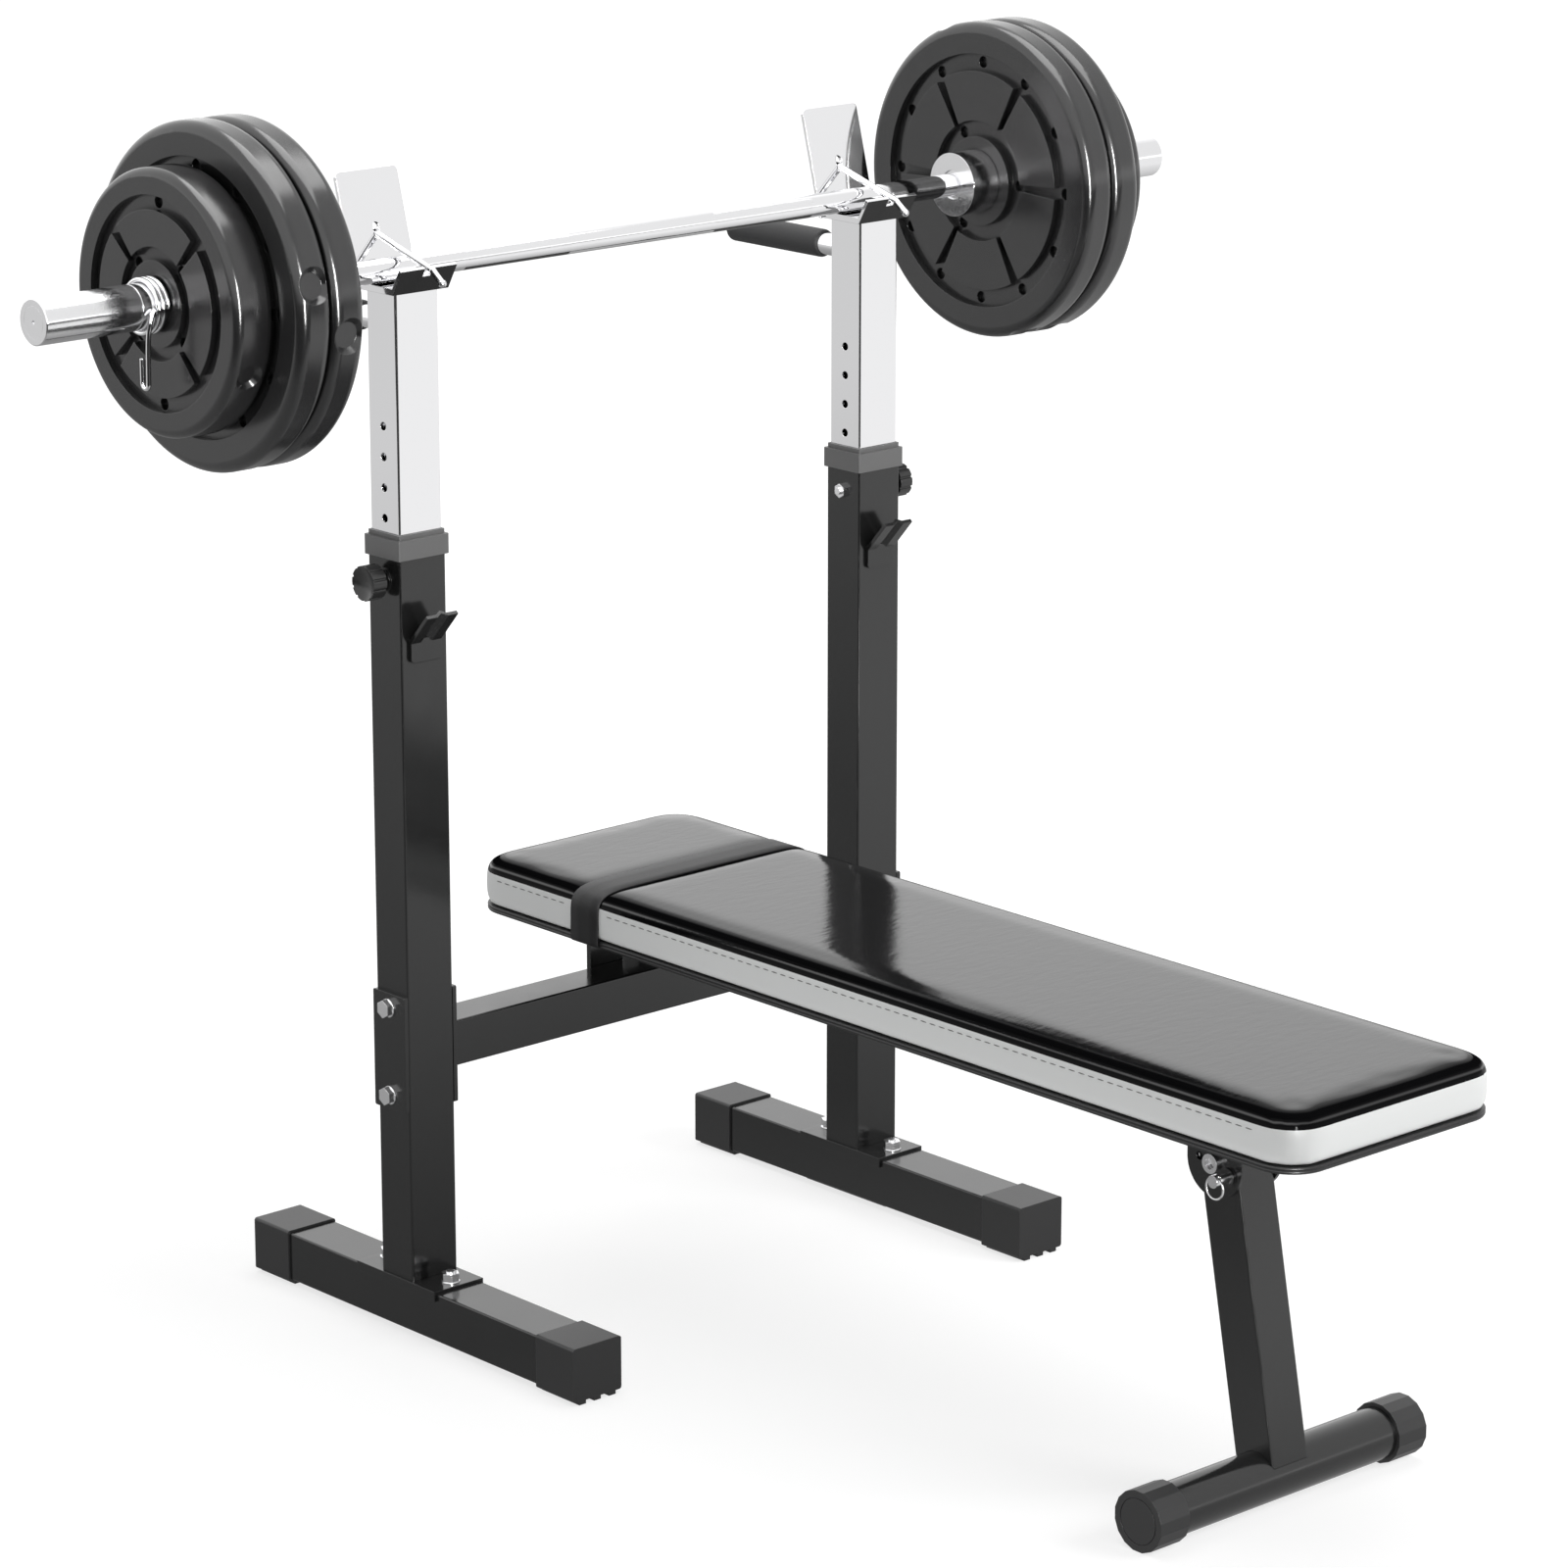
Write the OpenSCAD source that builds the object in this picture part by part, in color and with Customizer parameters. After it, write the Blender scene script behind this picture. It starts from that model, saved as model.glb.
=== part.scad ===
// Bench press: height-adjustable stand, folding padded bench and a loaded bar.
// X runs along the bar, -Y points to the foot end of the bench, +Z is up, and the floor is Z = 0.

/* [Stand] */
// Distance between the centre lines of the two uprights
upright_spacing = 640; // [560:5:720]
// Width of an upright along the bar
upright_w = 60; // [50:1:66]
// Depth of an upright across the bar
upright_d = 52; // [44:1:56]
// Height of the open top of an upright
upright_top = 862; // [840:1:880]
// Wall of all square and round tubes
tube_wall = 2; // [1.5:0.1:2.5]
// Outside corner radius of the square tubes
tube_round = 2; // [1.5:0.5:5]

/* [Feet] */
// Height of a foot tube
foot_h = 53.5; // [45:0.5:60]
// Height of a foot tube above the floor
foot_gap = 6.5; // [6:0.5:9]
// Reach of a foot in front of the uprights
foot_front = 292; // [250:1:330]
// Reach of a foot behind the uprights
foot_rear = 249; // [240:1:300]
// Length of a foot cap
foot_cap_len = 60; // [45:1:70]
// Wall of a foot cap
foot_cap_wall = 2.5; // [2:0.1:4]
// Length of the saddle under an upright
saddle_len = 132; // [120:1:150]
// Sheet thickness of the saddle
saddle_t = 3; // [2:0.5:4]
// Distance of a foot bolt from the middle of its upright
foot_bolt_reach = 52; // [45:0.5:55]
// Diameter of the foot and flange bolts
bolt_d = 10; // [8:1:11]

/* [Cross tube] */
// Height of the cross tube's centre line
cross_z = 314; // [260:1:320]
// Width and depth of the cross tube
cross_w = 50; // [40:1:52]
// Thickness of the flanges and of the plates outside the uprights
flange_t = 5; // [4:0.5:6]
// Height of a flange
flange_h = 128; // [120:1:140]
// Distance of a flange bolt from the cross tube's centre line
flange_bolt_reach = 48; // [42:0.5:52]

/* [Height posts] */
// Height of the top of a post
post_top = 1121; // [1100:1:1150]
// Length of a post
post_len = 521; // [480:1:560]
// Gap between a post and the upright round it
post_gap = 0.5; // [0.3:0.1:0.8]
// Distance between two height holes
hole_pitch = 32; // [28:1:36]
// Height of the height pins
pin_z = 821.5; // [810:0.5:830]
// Number of holes above a height pin
holes_above = 5; // [3:1:5]
// Number of holes below a height pin
holes_below = 2; // [1:1:3]
// Diameter of a height pin
pin_d = 8; // [6:0.5:9]
// Gap between a pin and its hole
pin_gap = 0.5; // [0.3:0.1:0.8]
// Travel of a height pin
pin_travel = 7; // [5:0.5:7.5]
// Diameter of a knob
knob_d = 37; // [32:1:42]
// Length of a knob
knob_len = 17; // [15:0.5:22]
// Height of the collar's skirt round the upright and post
collar_h = 21; // [18:0.5:26]
// Wall of a collar
collar_wall = 3; // [2.5:0.1:4]

/* [Cradles] */
// Width of a cradle along the bar
cradle_w = 72; // [60:1:80]
// Reach of a cradle's floor in front of and behind the post's middle
cradle_reach = 30; // [28:0.5:34]
// Sheet thickness of a cradle's lip and back plate
cradle_t = 4; // [3:0.5:4.5]
// Thickness of a cradle's floor
cradle_floor = 7; // [4:0.5:8]
// Length of the front lip
lip_len = 30; // [26:0.5:32]
// Forward lean of the front lip
lip_lean = 30; // [26:1:34]
// Length of the back plate
back_len = 118; // [100:1:130]
// Width of the back plate along the bar
back_w = 79; // [72:1:84]
// Backward lean of the back plate
back_lean = 15; // [13:0.5:16]
// Diameter of a latch rod
latch_d = 7; // [6:0.5:7.5]
// Width of a bar hook on an upright
hook_w = 40; // [34:1:48]
// Height of the bend of a bar hook
hook_z = 757; // [740:1:765]

/* [Dip handles] */
// Height of the dip handles below the post top
dip_drop = 37; // [34:0.5:45]
// Diameter of a dip bar
dip_d = 24; // [20:0.5:25]
// Start of a grip behind the post's middle
grip_start = 62; // [50:1:70]
// Length of a grip
grip_len = 150; // [120:1:160]
// Foam thickness of a grip
grip_foam = 3.5; // [3:0.5:6]

/* [Bar] */
// Diameter of the bar's shaft
shaft_d = 25; // [22:0.5:26]
// Diameter of a sleeve
sleeve_d = 46.5; // [40:0.5:50]
// Distance of a sleeve's inner face from the middle of the bar
sleeve_start = 458; // [440:1:470]
// Distance of a sleeve's end from the middle of the bar
sleeve_end = 767; // [760:1:800]
// Diameter of a sleeve's inner collar
sleeve_collar_d = 70; // [62:1:80]
// Length of a sleeve's inner collar
sleeve_collar_len = 38; // [30:0.5:39]
// Bore of a sleeve
sleeve_bore = 32; // [30:0.5:34]
// Length of the bare outer stretch of a sleeve
sleeve_free = 111; // [100:1:112]
// Distance of the bar behind the middle of the posts
bar_y = 6; // [4:0.5:8]
// Gap between pieces that lie against each other and move apart
seat_gap = 0.3; // [0.25:0.05:0.5]
// Running gap of a shaft in its bush and of a bolt in its hinge
run_gap = 0.05; // [0.03:0.01:0.08]

/* [Weight plates] */
// Diameter of a large plate
big_d = 350; // [320:1:360]
// Thickness of a large plate
big_t = 40; // [34:0.5:41]
// Diameter of a small plate
small_d = 268; // [240:1:280]
// Thickness of a small plate
small_t = 46; // [34:0.5:47]
// Depth of the recess in each face of a plate
plate_recess = 8; // [5:0.5:9]
// Width of the channels between the raised sectors of a plate
plate_channel = 12.5; // [8:0.5:15]
// Diameter of the holes in the recess of a plate
plate_hole_d = 13; // [8:0.5:14]
// Depth of the holes in the recess of a plate
plate_hole_deep = 5; // [2:0.5:6]
// Gap between a plate and its sleeve
plate_gap = 0.4; // [0.3:0.1:0.8]
// Wire diameter of a spring clip
clip_wire = 5; // [4:0.25:5.5]
// Distance between two turns of a spring clip
clip_pitch = 5.8; // [5.8:0.1:6.5]
// Length of a spring clip's handle
clip_handle = 50; // [40:1:60]

/* [Bench] */
// Height of the underside of the pad
pad_z = 407; // [404:1:420]
// Width of the pad
pad_w = 296; // [250:1:310]
// Reach of the pad in front of the uprights
pad_front = 1093; // [1060:1:1150]
// Reach of the pad behind the uprights
pad_rear = 114; // [90:1:125]
// Thickness of the pad's board with its rim
board_t = 6.5; // [6:0.5:12]
// Height of the cushion's side
cushion_side = 39.5; // [34:0.5:42]
// Height of the cushion's crown above its side
cushion_crown = 9; // [5:0.5:12]
// Distance over which the crown rises from the cushion's edge
cushion_roll = 24; // [16:1:60]
// Depth by which the cushion's sides are drawn in
cushion_draw = 2.5; // [1:0.25:4]
// Corner radius of the pad seen from above
pad_corner = 40; // [30:1:60]
// Width of the strap
strap_w = 44; // [30:1:50]
// Thickness of the strap
strap_t = 2; // [1:0.25:2.5]
// Distance of the strap's middle in front of the uprights
strap_y = 76; // [60:1:120]
// Height of the rail under the pad
rail_h = 30; // [26:0.5:32]
// Height of the rear hinge
hinge_z = 372; // [370:0.5:374]
// Diameter of the hinge bolt and of the leg's pivot bolt
hinge_d = 12; // [10:0.5:13]
// Gap between the two rear hinge ears
ear_gap = 24; // [20:0.5:28]
// Width of a rear hinge ear
ear_w = 46; // [40:1:50]

/* [Leg] */
// Width and depth of the leg tube
leg_w = 50; // [44:0.5:52]
// Forward lean of the leg
leg_lean = 11; // [6:0.5:12]
// Distance of the leg's pivot in front of the uprights
pivot_y = 882; // [860:1:900]
// Height of the leg's pivot
pivot_z = 343; // [342:0.5:345]
// Gap between the leg and each bracket plate
leg_gap = 0.5; // [0.3:0.1:0.8]
// Thickness of a bracket plate
bracket_t = 4; // [3:0.5:5]
// Half length of the leg's cross foot
leg_foot_reach = 190; // [160:1:220]
// Diameter of the leg's cross foot
leg_foot_d = 54; // [48:0.5:56]
// Distance across the flats of a cap on the leg's cross foot
leg_cap_d = 62; // [58:0.5:64]
// Length of a cap on the leg's cross foot
leg_cap_len = 40; // [30:1:50]
// Diameter of the leg's lock pin
lock_d = 8; // [6:0.5:8.5]
// Travel of the leg's lock pin
lock_travel = 12; // [8:0.5:12]

/* [Hidden] */
$fn = 48;

// The origin lies under the middle of the whole object
origin_y = (foot_rear - max(pad_front, foot_front)) / 2;
half_spacing = upright_spacing / 2;
upright_out = upright_w / 2;
upright_front = upright_d / 2;

// Feet
foot_w = upright_w;
foot_top = foot_gap + foot_h;
upright_base = foot_top + saddle_t;
foot_cap_under = foot_gap - foot_cap_wall;
ridge_w = 9;
clamp_t = 3.5;
bolt_hole = bolt_d + 1;
nut_across = 1.7 * bolt_d;
nut_h = 0.9 * bolt_d;
washer_d = 2 * bolt_d;
washer_t = 1.5;

// Posts and pins
post_w = upright_w - 2 * tube_wall - 2 * post_gap;
post_d = upright_d - 2 * tube_wall - 2 * post_gap;
post_bottom = post_top - post_len;
boss_d = 3 * pin_d;
boss_len = 3;
pin_hole = pin_d + 2 * pin_gap;
pin_tip = upright_out - tube_wall + 0.4;
knob_inner = upright_out + boss_len + pin_travel + 0.5;
knob_outer = knob_inner + knob_len;
knob_lobes = 10;
collar_lip = 5;
collar_over = 4;
collar_base = upright_top + collar_over - collar_h;
guide_nut = 14;
guide_d = 8;

// Bar
shaft_r = shaft_d / 2;
bar_z = post_top + cradle_floor + shaft_r + seat_gap;
shaft_reach = sleeve_end - 27;
bush_len = 36;
ring_t = 2;
bush_inset = 2;
sleeve_cap_t = 7;
sleeve_chamfer = 1;
groove_w = 2;
plate_start = sleeve_start + sleeve_collar_len + seat_gap;
outer_plate_start = plate_start + big_t + seat_gap;
small_plate_start = outer_plate_start + big_t + seat_gap;
clip_start = small_plate_start + small_t + seat_gap;

// Cradle and latch
back_foot = cradle_reach;
slot_z = 53;
latch_head_d = 5;
latch_y = back_foot + slot_z * tan(back_lean) + (latch_head_d / 2 + seat_gap) / cos(back_lean);
latch_z = post_top + slot_z;
latch_slot_w = latch_d + 1;
latch_slot_h = 18;
lip_tip_y = -cradle_reach - lip_len * sin(lip_lean);
lip_tip_z = post_top + lip_len * cos(lip_lean);
notch_w = latch_d + 3;
notch_h = 10;
latch_bend_y = lip_tip_y - 6;
latch_bend_z = lip_tip_z - 2;
latch_end_y = latch_bend_y - 15;
latch_end_z = latch_bend_z - 11;
hook_t = 4;
hook_low = 21;
hook_round = 5;
hook_arm = 42;
hook_lean = 42;
hook_rib_w = 14;
hook_rib_h = 4;

// Rear hinge and rail
hinge_y = cross_w / 2 + 17;
ear_t = 6;
ear_round = hinge_d / 2 + 6;
ear_low = 14;
rail_w = leg_w + 2 * leg_gap;
rail_bottom = pad_z - rail_h;
rail_rear = hinge_y - ear_round - 10;
tongue_w = ear_gap - 2 * 0.5;
tongue_in = 60;

// Leg
bracket_r = 36.5;
bracket_inner = leg_w / 2 + leg_gap;
bracket_outer = bracket_inner + bracket_t;
leg_over = 10;
leg_foot_z = leg_cap_d / 2;
leg_drop = (pivot_z - leg_foot_z) / cos(leg_lean);
leg_foot_y = -pivot_y - leg_drop * sin(leg_lean);
lock_y = -19;
lock_z = -10;
lock_boss_d = 19;
lock_boss_len = 3;
lock_tip = bracket_inner + 0.1;
lock_head_inner = bracket_outer + lock_boss_len + lock_travel + 0.5;
lock_head_len = 7;
lock_head_d = 13;
ring_wire = 2.2;
ring_r = 11.2;
ring_hook = 4.1;
// Height of the ring's arc across the pin's head, and the hole that takes it
ring_bow = ring_r - sqrt(ring_r * ring_r - lock_head_d * lock_head_d / 4);
ring_hole = ring_wire + ring_bow + 2 * seat_gap;

// Pad
pad_mid = (pad_rear - pad_front) / 2;
pad_len = pad_rear + pad_front;
cushion_z = pad_z + board_t;
corner_steps = 6;
screw_d = 8;
screw_count = 4;
screw_head_t = 4;
screw_into_board = 5;

// Plain shapes

module rounded_rect(w, d, r) {
    square([w - 2 * r, d], center = true);
    square([w, d - 2 * r], center = true);
    for (x = [-1, 1], y = [-1, 1])
        translate([x * (w / 2 - r), y * (d / 2 - r)])
            circle(r);
}

module solid_bar(w, d, h, r) {
    linear_extrude(h)
        rounded_rect(w, d, r);
}

module square_tube(w, d, h) {
    inner_round = max(tube_round - tube_wall, 0.5);
    difference() {
        solid_bar(w, d, h, tube_round);
        translate([0, 0, -1])
            solid_bar(w - 2 * tube_wall, d - 2 * tube_wall, h + 2, inner_round);
    }
}

module along_x() {
    rotate([0, 90, 0])
        children();
}

module along_y() {
    rotate([-90, 0, 0])
        children();
}

module hexagon(across, h) {
    cylinder(d = across / cos(30), h = h, $fn = 6);
}

module on_left() {
    translate([-half_spacing, 0, 0])
        children();
}

module on_right() {
    mirror([1, 0, 0])
        on_left()
            children();
}

module on_both_sides() {
    on_left()
        children();
    on_right()
        children();
}

// A straight rod in the plane across the bar, from one [y, z] point to another
module rod(from, to, d) {
    step = to - from;
    translate([0, from[0], from[1]])
        rotate([atan2(-step[0], step[1]), 0, 0])
            cylinder(d = d, h = norm(step));
}

// Stand

module foot_tube() {
    length = foot_front + foot_rear - 2 * foot_cap_wall;
    color("#1b1b1c")
        difference() {
            translate([0, -foot_front + foot_cap_wall, foot_gap + foot_h / 2])
                along_y()
                    square_tube(foot_w, foot_h, length);
            for (y = [-1, 1])
                translate([0, y * foot_bolt_reach, 0])
                    cylinder(d = bolt_hole, h = foot_top + 1);
        }
}

// One cap, with its closed end at y = 0 and its mouth towards +Y
module foot_cap() {
    cap_h = foot_h + 2 * foot_cap_wall;
    difference() {
        translate([0, 0, foot_gap + foot_h / 2])
            along_y()
                solid_bar(foot_w + 2 * foot_cap_wall, cap_h, foot_cap_len, tube_round + 1);
        translate([0, foot_cap_wall, foot_gap + foot_h / 2])
            along_y()
                solid_bar(foot_w, foot_h, foot_cap_len, tube_round);
    }
    for (x = [-1, 0, 1])
        translate([x * foot_w / 3 - ridge_w / 2, 0, 0])
            cube([ridge_w, foot_cap_len, foot_cap_under + 0.5]);
}

module foot_caps() {
    color("#161617")
        on_both_sides() {
            translate([0, -foot_front, 0])
                foot_cap();
            translate([0, foot_rear, 0])
                mirror([0, 1, 0])
                    foot_cap();
        }
}

module saddle() {
    lip = 8;
    color("#1b1b1c")
        difference() {
            union() {
                translate([-foot_w / 2 - saddle_t, -saddle_len / 2, foot_top])
                    cube([foot_w + 2 * saddle_t, saddle_len, saddle_t]);
                for (x = [-foot_w / 2 - saddle_t, foot_w / 2])
                    translate([x, -saddle_len / 2, foot_top - lip])
                        cube([saddle_t, saddle_len, lip + saddle_t]);
            }
            for (y = [-1, 1])
                translate([0, y * foot_bolt_reach, foot_top - 1])
                    cylinder(d = bolt_hole, h = saddle_t + 2);
        }
}

module clamp_plates() {
    color("#1b1b1c")
        on_both_sides()
            difference() {
                translate([-foot_w * 0.38, -saddle_len / 2, foot_gap - clamp_t])
                    cube([foot_w * 0.76, saddle_len, clamp_t]);
                for (y = [-1, 1])
                    translate([0, y * foot_bolt_reach, 0])
                        cylinder(d = bolt_hole, h = foot_gap + 1);
            }
}

module foot_bolts() {
    head_t = 2;
    head_z = foot_gap - clamp_t - head_t;
    nut_z = upright_base + washer_t;
    color("#c8c8ca")
        on_both_sides()
            for (y = [-1, 1])
                translate([0, y * foot_bolt_reach, 0]) {
                    translate([0, 0, head_z])
                        cylinder(d = washer_d, h = head_t);
                    translate([0, 0, head_z])
                        cylinder(d = bolt_d, h = nut_z + nut_h + 2 - head_z);
                    translate([0, 0, upright_base])
                        cylinder(d = washer_d, h = washer_t);
                    translate([0, 0, nut_z])
                        hexagon(nut_across, nut_h);
                }
}

module upright() {
    color("#1b1b1c")
        difference() {
            union() {
                translate([0, 0, upright_base])
                    square_tube(upright_w, upright_d, upright_top - upright_base);
                translate([-upright_out - boss_len, 0, pin_z])
                    along_x()
                        cylinder(d = boss_d, h = boss_len + 0.5);
            }
            translate([-upright_out - boss_len - 1, 0, pin_z])
                along_x()
                    cylinder(d = pin_hole, h = boss_len + tube_wall + 2);
            translate([upright_out - tube_wall - 1, 0, pin_z])
                along_x()
                    cylinder(d = guide_d, h = tube_wall + 2);
            for (z = [-1, 1])
                translate([-upright_out - 1, 0, cross_z + z * flange_bolt_reach])
                    along_x()
                        cylinder(d = bolt_hole, h = upright_w + 2);
        }
}

module collar() {
    outer_w = upright_w + 2 * collar_wall;
    outer_d = upright_d + 2 * collar_wall;
    bore_w = post_w + 2 * post_gap;
    bore_d = post_d + 2 * post_gap;
    edge = 2;
    color("#4a4a4c")
        difference() {
            union() {
                translate([0, 0, collar_base])
                    solid_bar(outer_w, outer_d, collar_h, edge);
                translate([0, 0, collar_base + collar_h - 0.5])
                    solid_bar(upright_w, upright_d, collar_lip + 0.5, tube_round);
            }
            translate([0, 0, collar_base - 1])
                solid_bar(upright_w, upright_d, upright_top - collar_base + 1, tube_round);
            translate([0, 0, collar_base])
                solid_bar(bore_w, bore_d, collar_h + collar_lip + 1, tube_round - 1);
        }
}

module guide_screws() {
    nut_len = 6;
    end_len = 3;
    color("#b9b9bb")
        on_both_sides()
            translate([upright_out - tube_wall, 0, pin_z])
                along_x() {
                    cylinder(d = guide_d, h = tube_wall + nut_len + end_len);
                    translate([0, 0, tube_wall])
                        hexagon(guide_nut, nut_len);
                }
}

// A bent strip: a flat plate on the upright's front face, and an arm that leans forward with a pressed rib
module hook() {
    plate_h = hook_low + hook_t;
    fold = [
        [-hook_w / 2, 0], [-hook_rib_w / 2, 0], [0, hook_rib_h], [hook_rib_w / 2, 0], [hook_w / 2, 0]
    ];
    other_side = [for (i = [len(fold) - 1 : -1 : 0]) fold[i] + [0, hook_t]];
    color("#1b1b1c") {
        translate([0, -upright_front, hook_z + hook_t - plate_h / 2])
            rotate([90, 0, 0])
                linear_extrude(hook_t) {
                    rounded_rect(hook_w, plate_h, hook_round);
                    translate([-hook_w / 2, 0])
                        square([hook_w, plate_h / 2]);
                }
        difference() {
            translate([0, -upright_front - hook_t, hook_z])
                rotate([hook_lean, 0, 0])
                    linear_extrude(hook_arm)
                        polygon(concat(fold, other_side));
            translate([-hook_w, -upright_front, hook_z - hook_t])
                cube([2 * hook_w, upright_d, hook_arm + hook_t]);
        }
    }
}

// An angle bracket behind the cross tube: a front plate and a side plate round the hinge bolt
module hinge_ear() {
    ear_bottom = cross_z - ear_low;
    difference() {
        union() {
            translate([ear_gap / 2, cross_w / 2, ear_bottom])
                cube([ear_w, ear_t, hinge_z + ear_round - ear_bottom]);
            translate([ear_gap / 2, cross_w / 2, ear_bottom])
                cube([ear_t, hinge_y - cross_w / 2 + ear_round, hinge_z - ear_bottom]);
            translate([ear_gap / 2, hinge_y, hinge_z])
                along_x()
                    cylinder(r = ear_round, h = ear_t);
        }
        translate([ear_gap / 2 - 1, hinge_y, hinge_z])
            along_x()
                cylinder(d = hinge_d + 2 * run_gap, h = ear_t + 2);
    }
}

module cross_tube() {
    reach = half_spacing - upright_out;
    color("#1b1b1c") {
        translate([-reach + flange_t, 0, cross_z])
            along_x()
                square_tube(cross_w, cross_w, 2 * (reach - flange_t));
        for (side = [0, 1])
            mirror([side, 0, 0]) {
                translate([-reach, 0, cross_z])
                    flange();
                hinge_ear();
            }
    }
}

// A drilled plate whose outer face lies at x = 0 and which runs towards +X
module flange() {
    difference() {
        along_x()
            solid_bar(flange_h, upright_d, flange_t, tube_round);
        for (z = [-1, 1])
            translate([-1, 0, z * flange_bolt_reach])
                along_x()
                    cylinder(d = bolt_hole, h = flange_t + 2);
    }
}

module flange_plates() {
    color("#1b1b1c")
        on_both_sides()
            translate([-upright_out - flange_t, 0, cross_z])
                flange();
}

module flange_bolts() {
    head_t = 0.7 * bolt_d;
    grip_reach = upright_out + flange_t;
    color("#c8c8ca")
        on_both_sides()
            for (z = [-1, 1])
                translate([0, 0, cross_z + z * flange_bolt_reach])
                    along_x() {
                        translate([0, 0, -grip_reach - washer_t - head_t])
                            hexagon(nut_across, head_t);
                        translate([0, 0, -grip_reach - washer_t - head_t / 2])
                            cylinder(d = bolt_d, h = 2 * (grip_reach + washer_t) + nut_h + head_t / 2 + 2);
                        translate([0, 0, -grip_reach - washer_t])
                            cylinder(d = washer_d, h = washer_t);
                        translate([0, 0, grip_reach])
                            cylinder(d = washer_d, h = washer_t);
                        translate([0, 0, grip_reach + washer_t])
                            hexagon(nut_across, nut_h);
                    }
}

// A bolt along X with a round socket head at -X and a nut at +X, clamping what lies within its reach
module cross_bolt(reach, d) {
    end_t = 0.6 * d;
    color("#c8c8ca")
        along_x() {
            translate([0, 0, -reach - end_t / 3])
                cylinder(d = d, h = 2 * reach + end_t);
            difference() {
                translate([0, 0, -reach - end_t])
                    cylinder(d = 1.65 * d, h = end_t);
                translate([0, 0, -reach - 2 * end_t])
                    hexagon(0.9 * d, 1.6 * end_t);
            }
            translate([0, 0, reach])
                hexagon(1.6 * d, end_t);
        }
}

module hinge_bolt() {
    translate([0, hinge_y, hinge_z])
        cross_bolt(ear_gap / 2 + ear_t, hinge_d);
}

// Height posts

module post() {
    color("#d9d9dc")
        difference() {
            translate([0, 0, post_bottom])
                square_tube(post_w, post_d, post_len);
            for (i = [-holes_below : holes_above])
                translate([-post_w, 0, pin_z + i * hole_pitch])
                    along_x()
                        cylinder(d = pin_hole, h = 2 * post_w);
        }
}

// A bent sheet: a floor on the post with a leaning front lip, and a wider tall back plate
module cradle() {
    plate_round = 5;
    lip_up = [-sin(lip_lean), cos(lip_lean)];
    back_up = [sin(back_lean), cos(back_lean)];
    lip_tip = [-cradle_reach, 0] + lip_len * lip_up;
    back_tip = [back_foot, 0] + back_len * back_up;
    floor_front = -cradle_reach + cradle_t / cos(lip_lean) - cradle_floor * tan(lip_lean);
    floor_back = back_foot - cradle_t / 3;
    color("#d9d9dc")
        translate([0, 0, post_top])
            difference() {
                union() {
                    profile_across(cradle_w)
                        polygon([
                            [-cradle_reach, 0], [floor_back, 0], [floor_back, cradle_floor],
                            [floor_front, cradle_floor], lip_tip + cradle_t * [lip_up[1], -lip_up[0]], lip_tip
                        ]);
                    profile_across(back_w)
                        polygon([
                            [back_foot, 0], back_tip, back_tip + cradle_t * [-back_up[1], back_up[0]],
                            [back_foot - cradle_t / cos(back_lean), 0]
                        ]);
                }
                // Notch in the lip for the latch rod
                translate([0, -cradle_reach, 0])
                    rotate([lip_lean, 0, 0])
                        translate([-notch_w / 2, -1, lip_len - notch_h])
                            cube([notch_w, cradle_t + 2, notch_h + 1]);
                // Slot in the back plate that the latch rod swings in, and the plate's rounded top corners
                translate([0, back_foot, 0])
                    rotate([-back_lean, 0, 0])
                        translate([0, 1, 0])
                            rotate([90, 0, 0])
                                linear_extrude(cradle_t + 2) {
                                    translate([0, slot_z / cos(back_lean)])
                                        latch_slot();
                                    for (side = [0, 1])
                                        mirror([side, 0])
                                            translate([back_w / 2 - plate_round, back_len - plate_round])
                                                difference() {
                                                    square(plate_round + 1);
                                                    circle(plate_round);
                                                }
                                }
            }
}

// A [y, z] profile drawn out along the bar, centred on x = 0
module profile_across(w) {
    rotate([90, 0, 90])
        translate([0, 0, -w / 2])
            linear_extrude(w)
                children();
}

module latch_slot() {
    straight = latch_slot_h - latch_slot_w;
    square([latch_slot_w, straight], center = true);
    for (y = [-1, 1])
        translate([0, y * straight / 2])
            circle(d = latch_slot_w);
}

module latch() {
    pivot = [latch_y, latch_z];
    bend = [latch_bend_y, latch_bend_z];
    end = [latch_end_y, latch_end_z];
    head_w = 24;
    color("#d9d9dc") {
        rod(pivot, bend, latch_d);
        rod(bend, end, latch_d);
        translate([0, bend[0], bend[1]])
            sphere(d = latch_d + 0.6);
        translate([0, end[0], end[1]])
            sphere(d = latch_d + 1.5);
        translate([-head_w / 2, latch_y, latch_z])
            along_x()
                cylinder(d = latch_head_d, h = head_w);
    }
}

module dip_bar() {
    start = post_d / 2;
    length = grip_start + grip_len - grip_foam - start;
    color("#d9d9dc")
        translate([0, start, post_top - dip_drop])
            along_y()
                difference() {
                    cylinder(d = dip_d, h = length);
                    translate([0, 0, -1])
                        cylinder(d = dip_d - 2 * tube_wall, h = length + 2);
                }
}

module grip() {
    outer_r = dip_d / 2 + grip_foam;
    edge = 5;
    color("#141415")
        translate([0, grip_start, post_top - dip_drop])
            along_y()
                difference() {
                    rotate_extrude() {
                        square([outer_r - edge, grip_len]);
                        translate([0, edge])
                            square([outer_r, grip_len - 2 * edge]);
                        for (z = [edge, grip_len - edge])
                            translate([outer_r - edge, z])
                                circle(edge);
                    }
                    translate([0, 0, -1])
                        cylinder(d = dip_d, h = grip_len - grip_foam + 1);
                }
}

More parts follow.
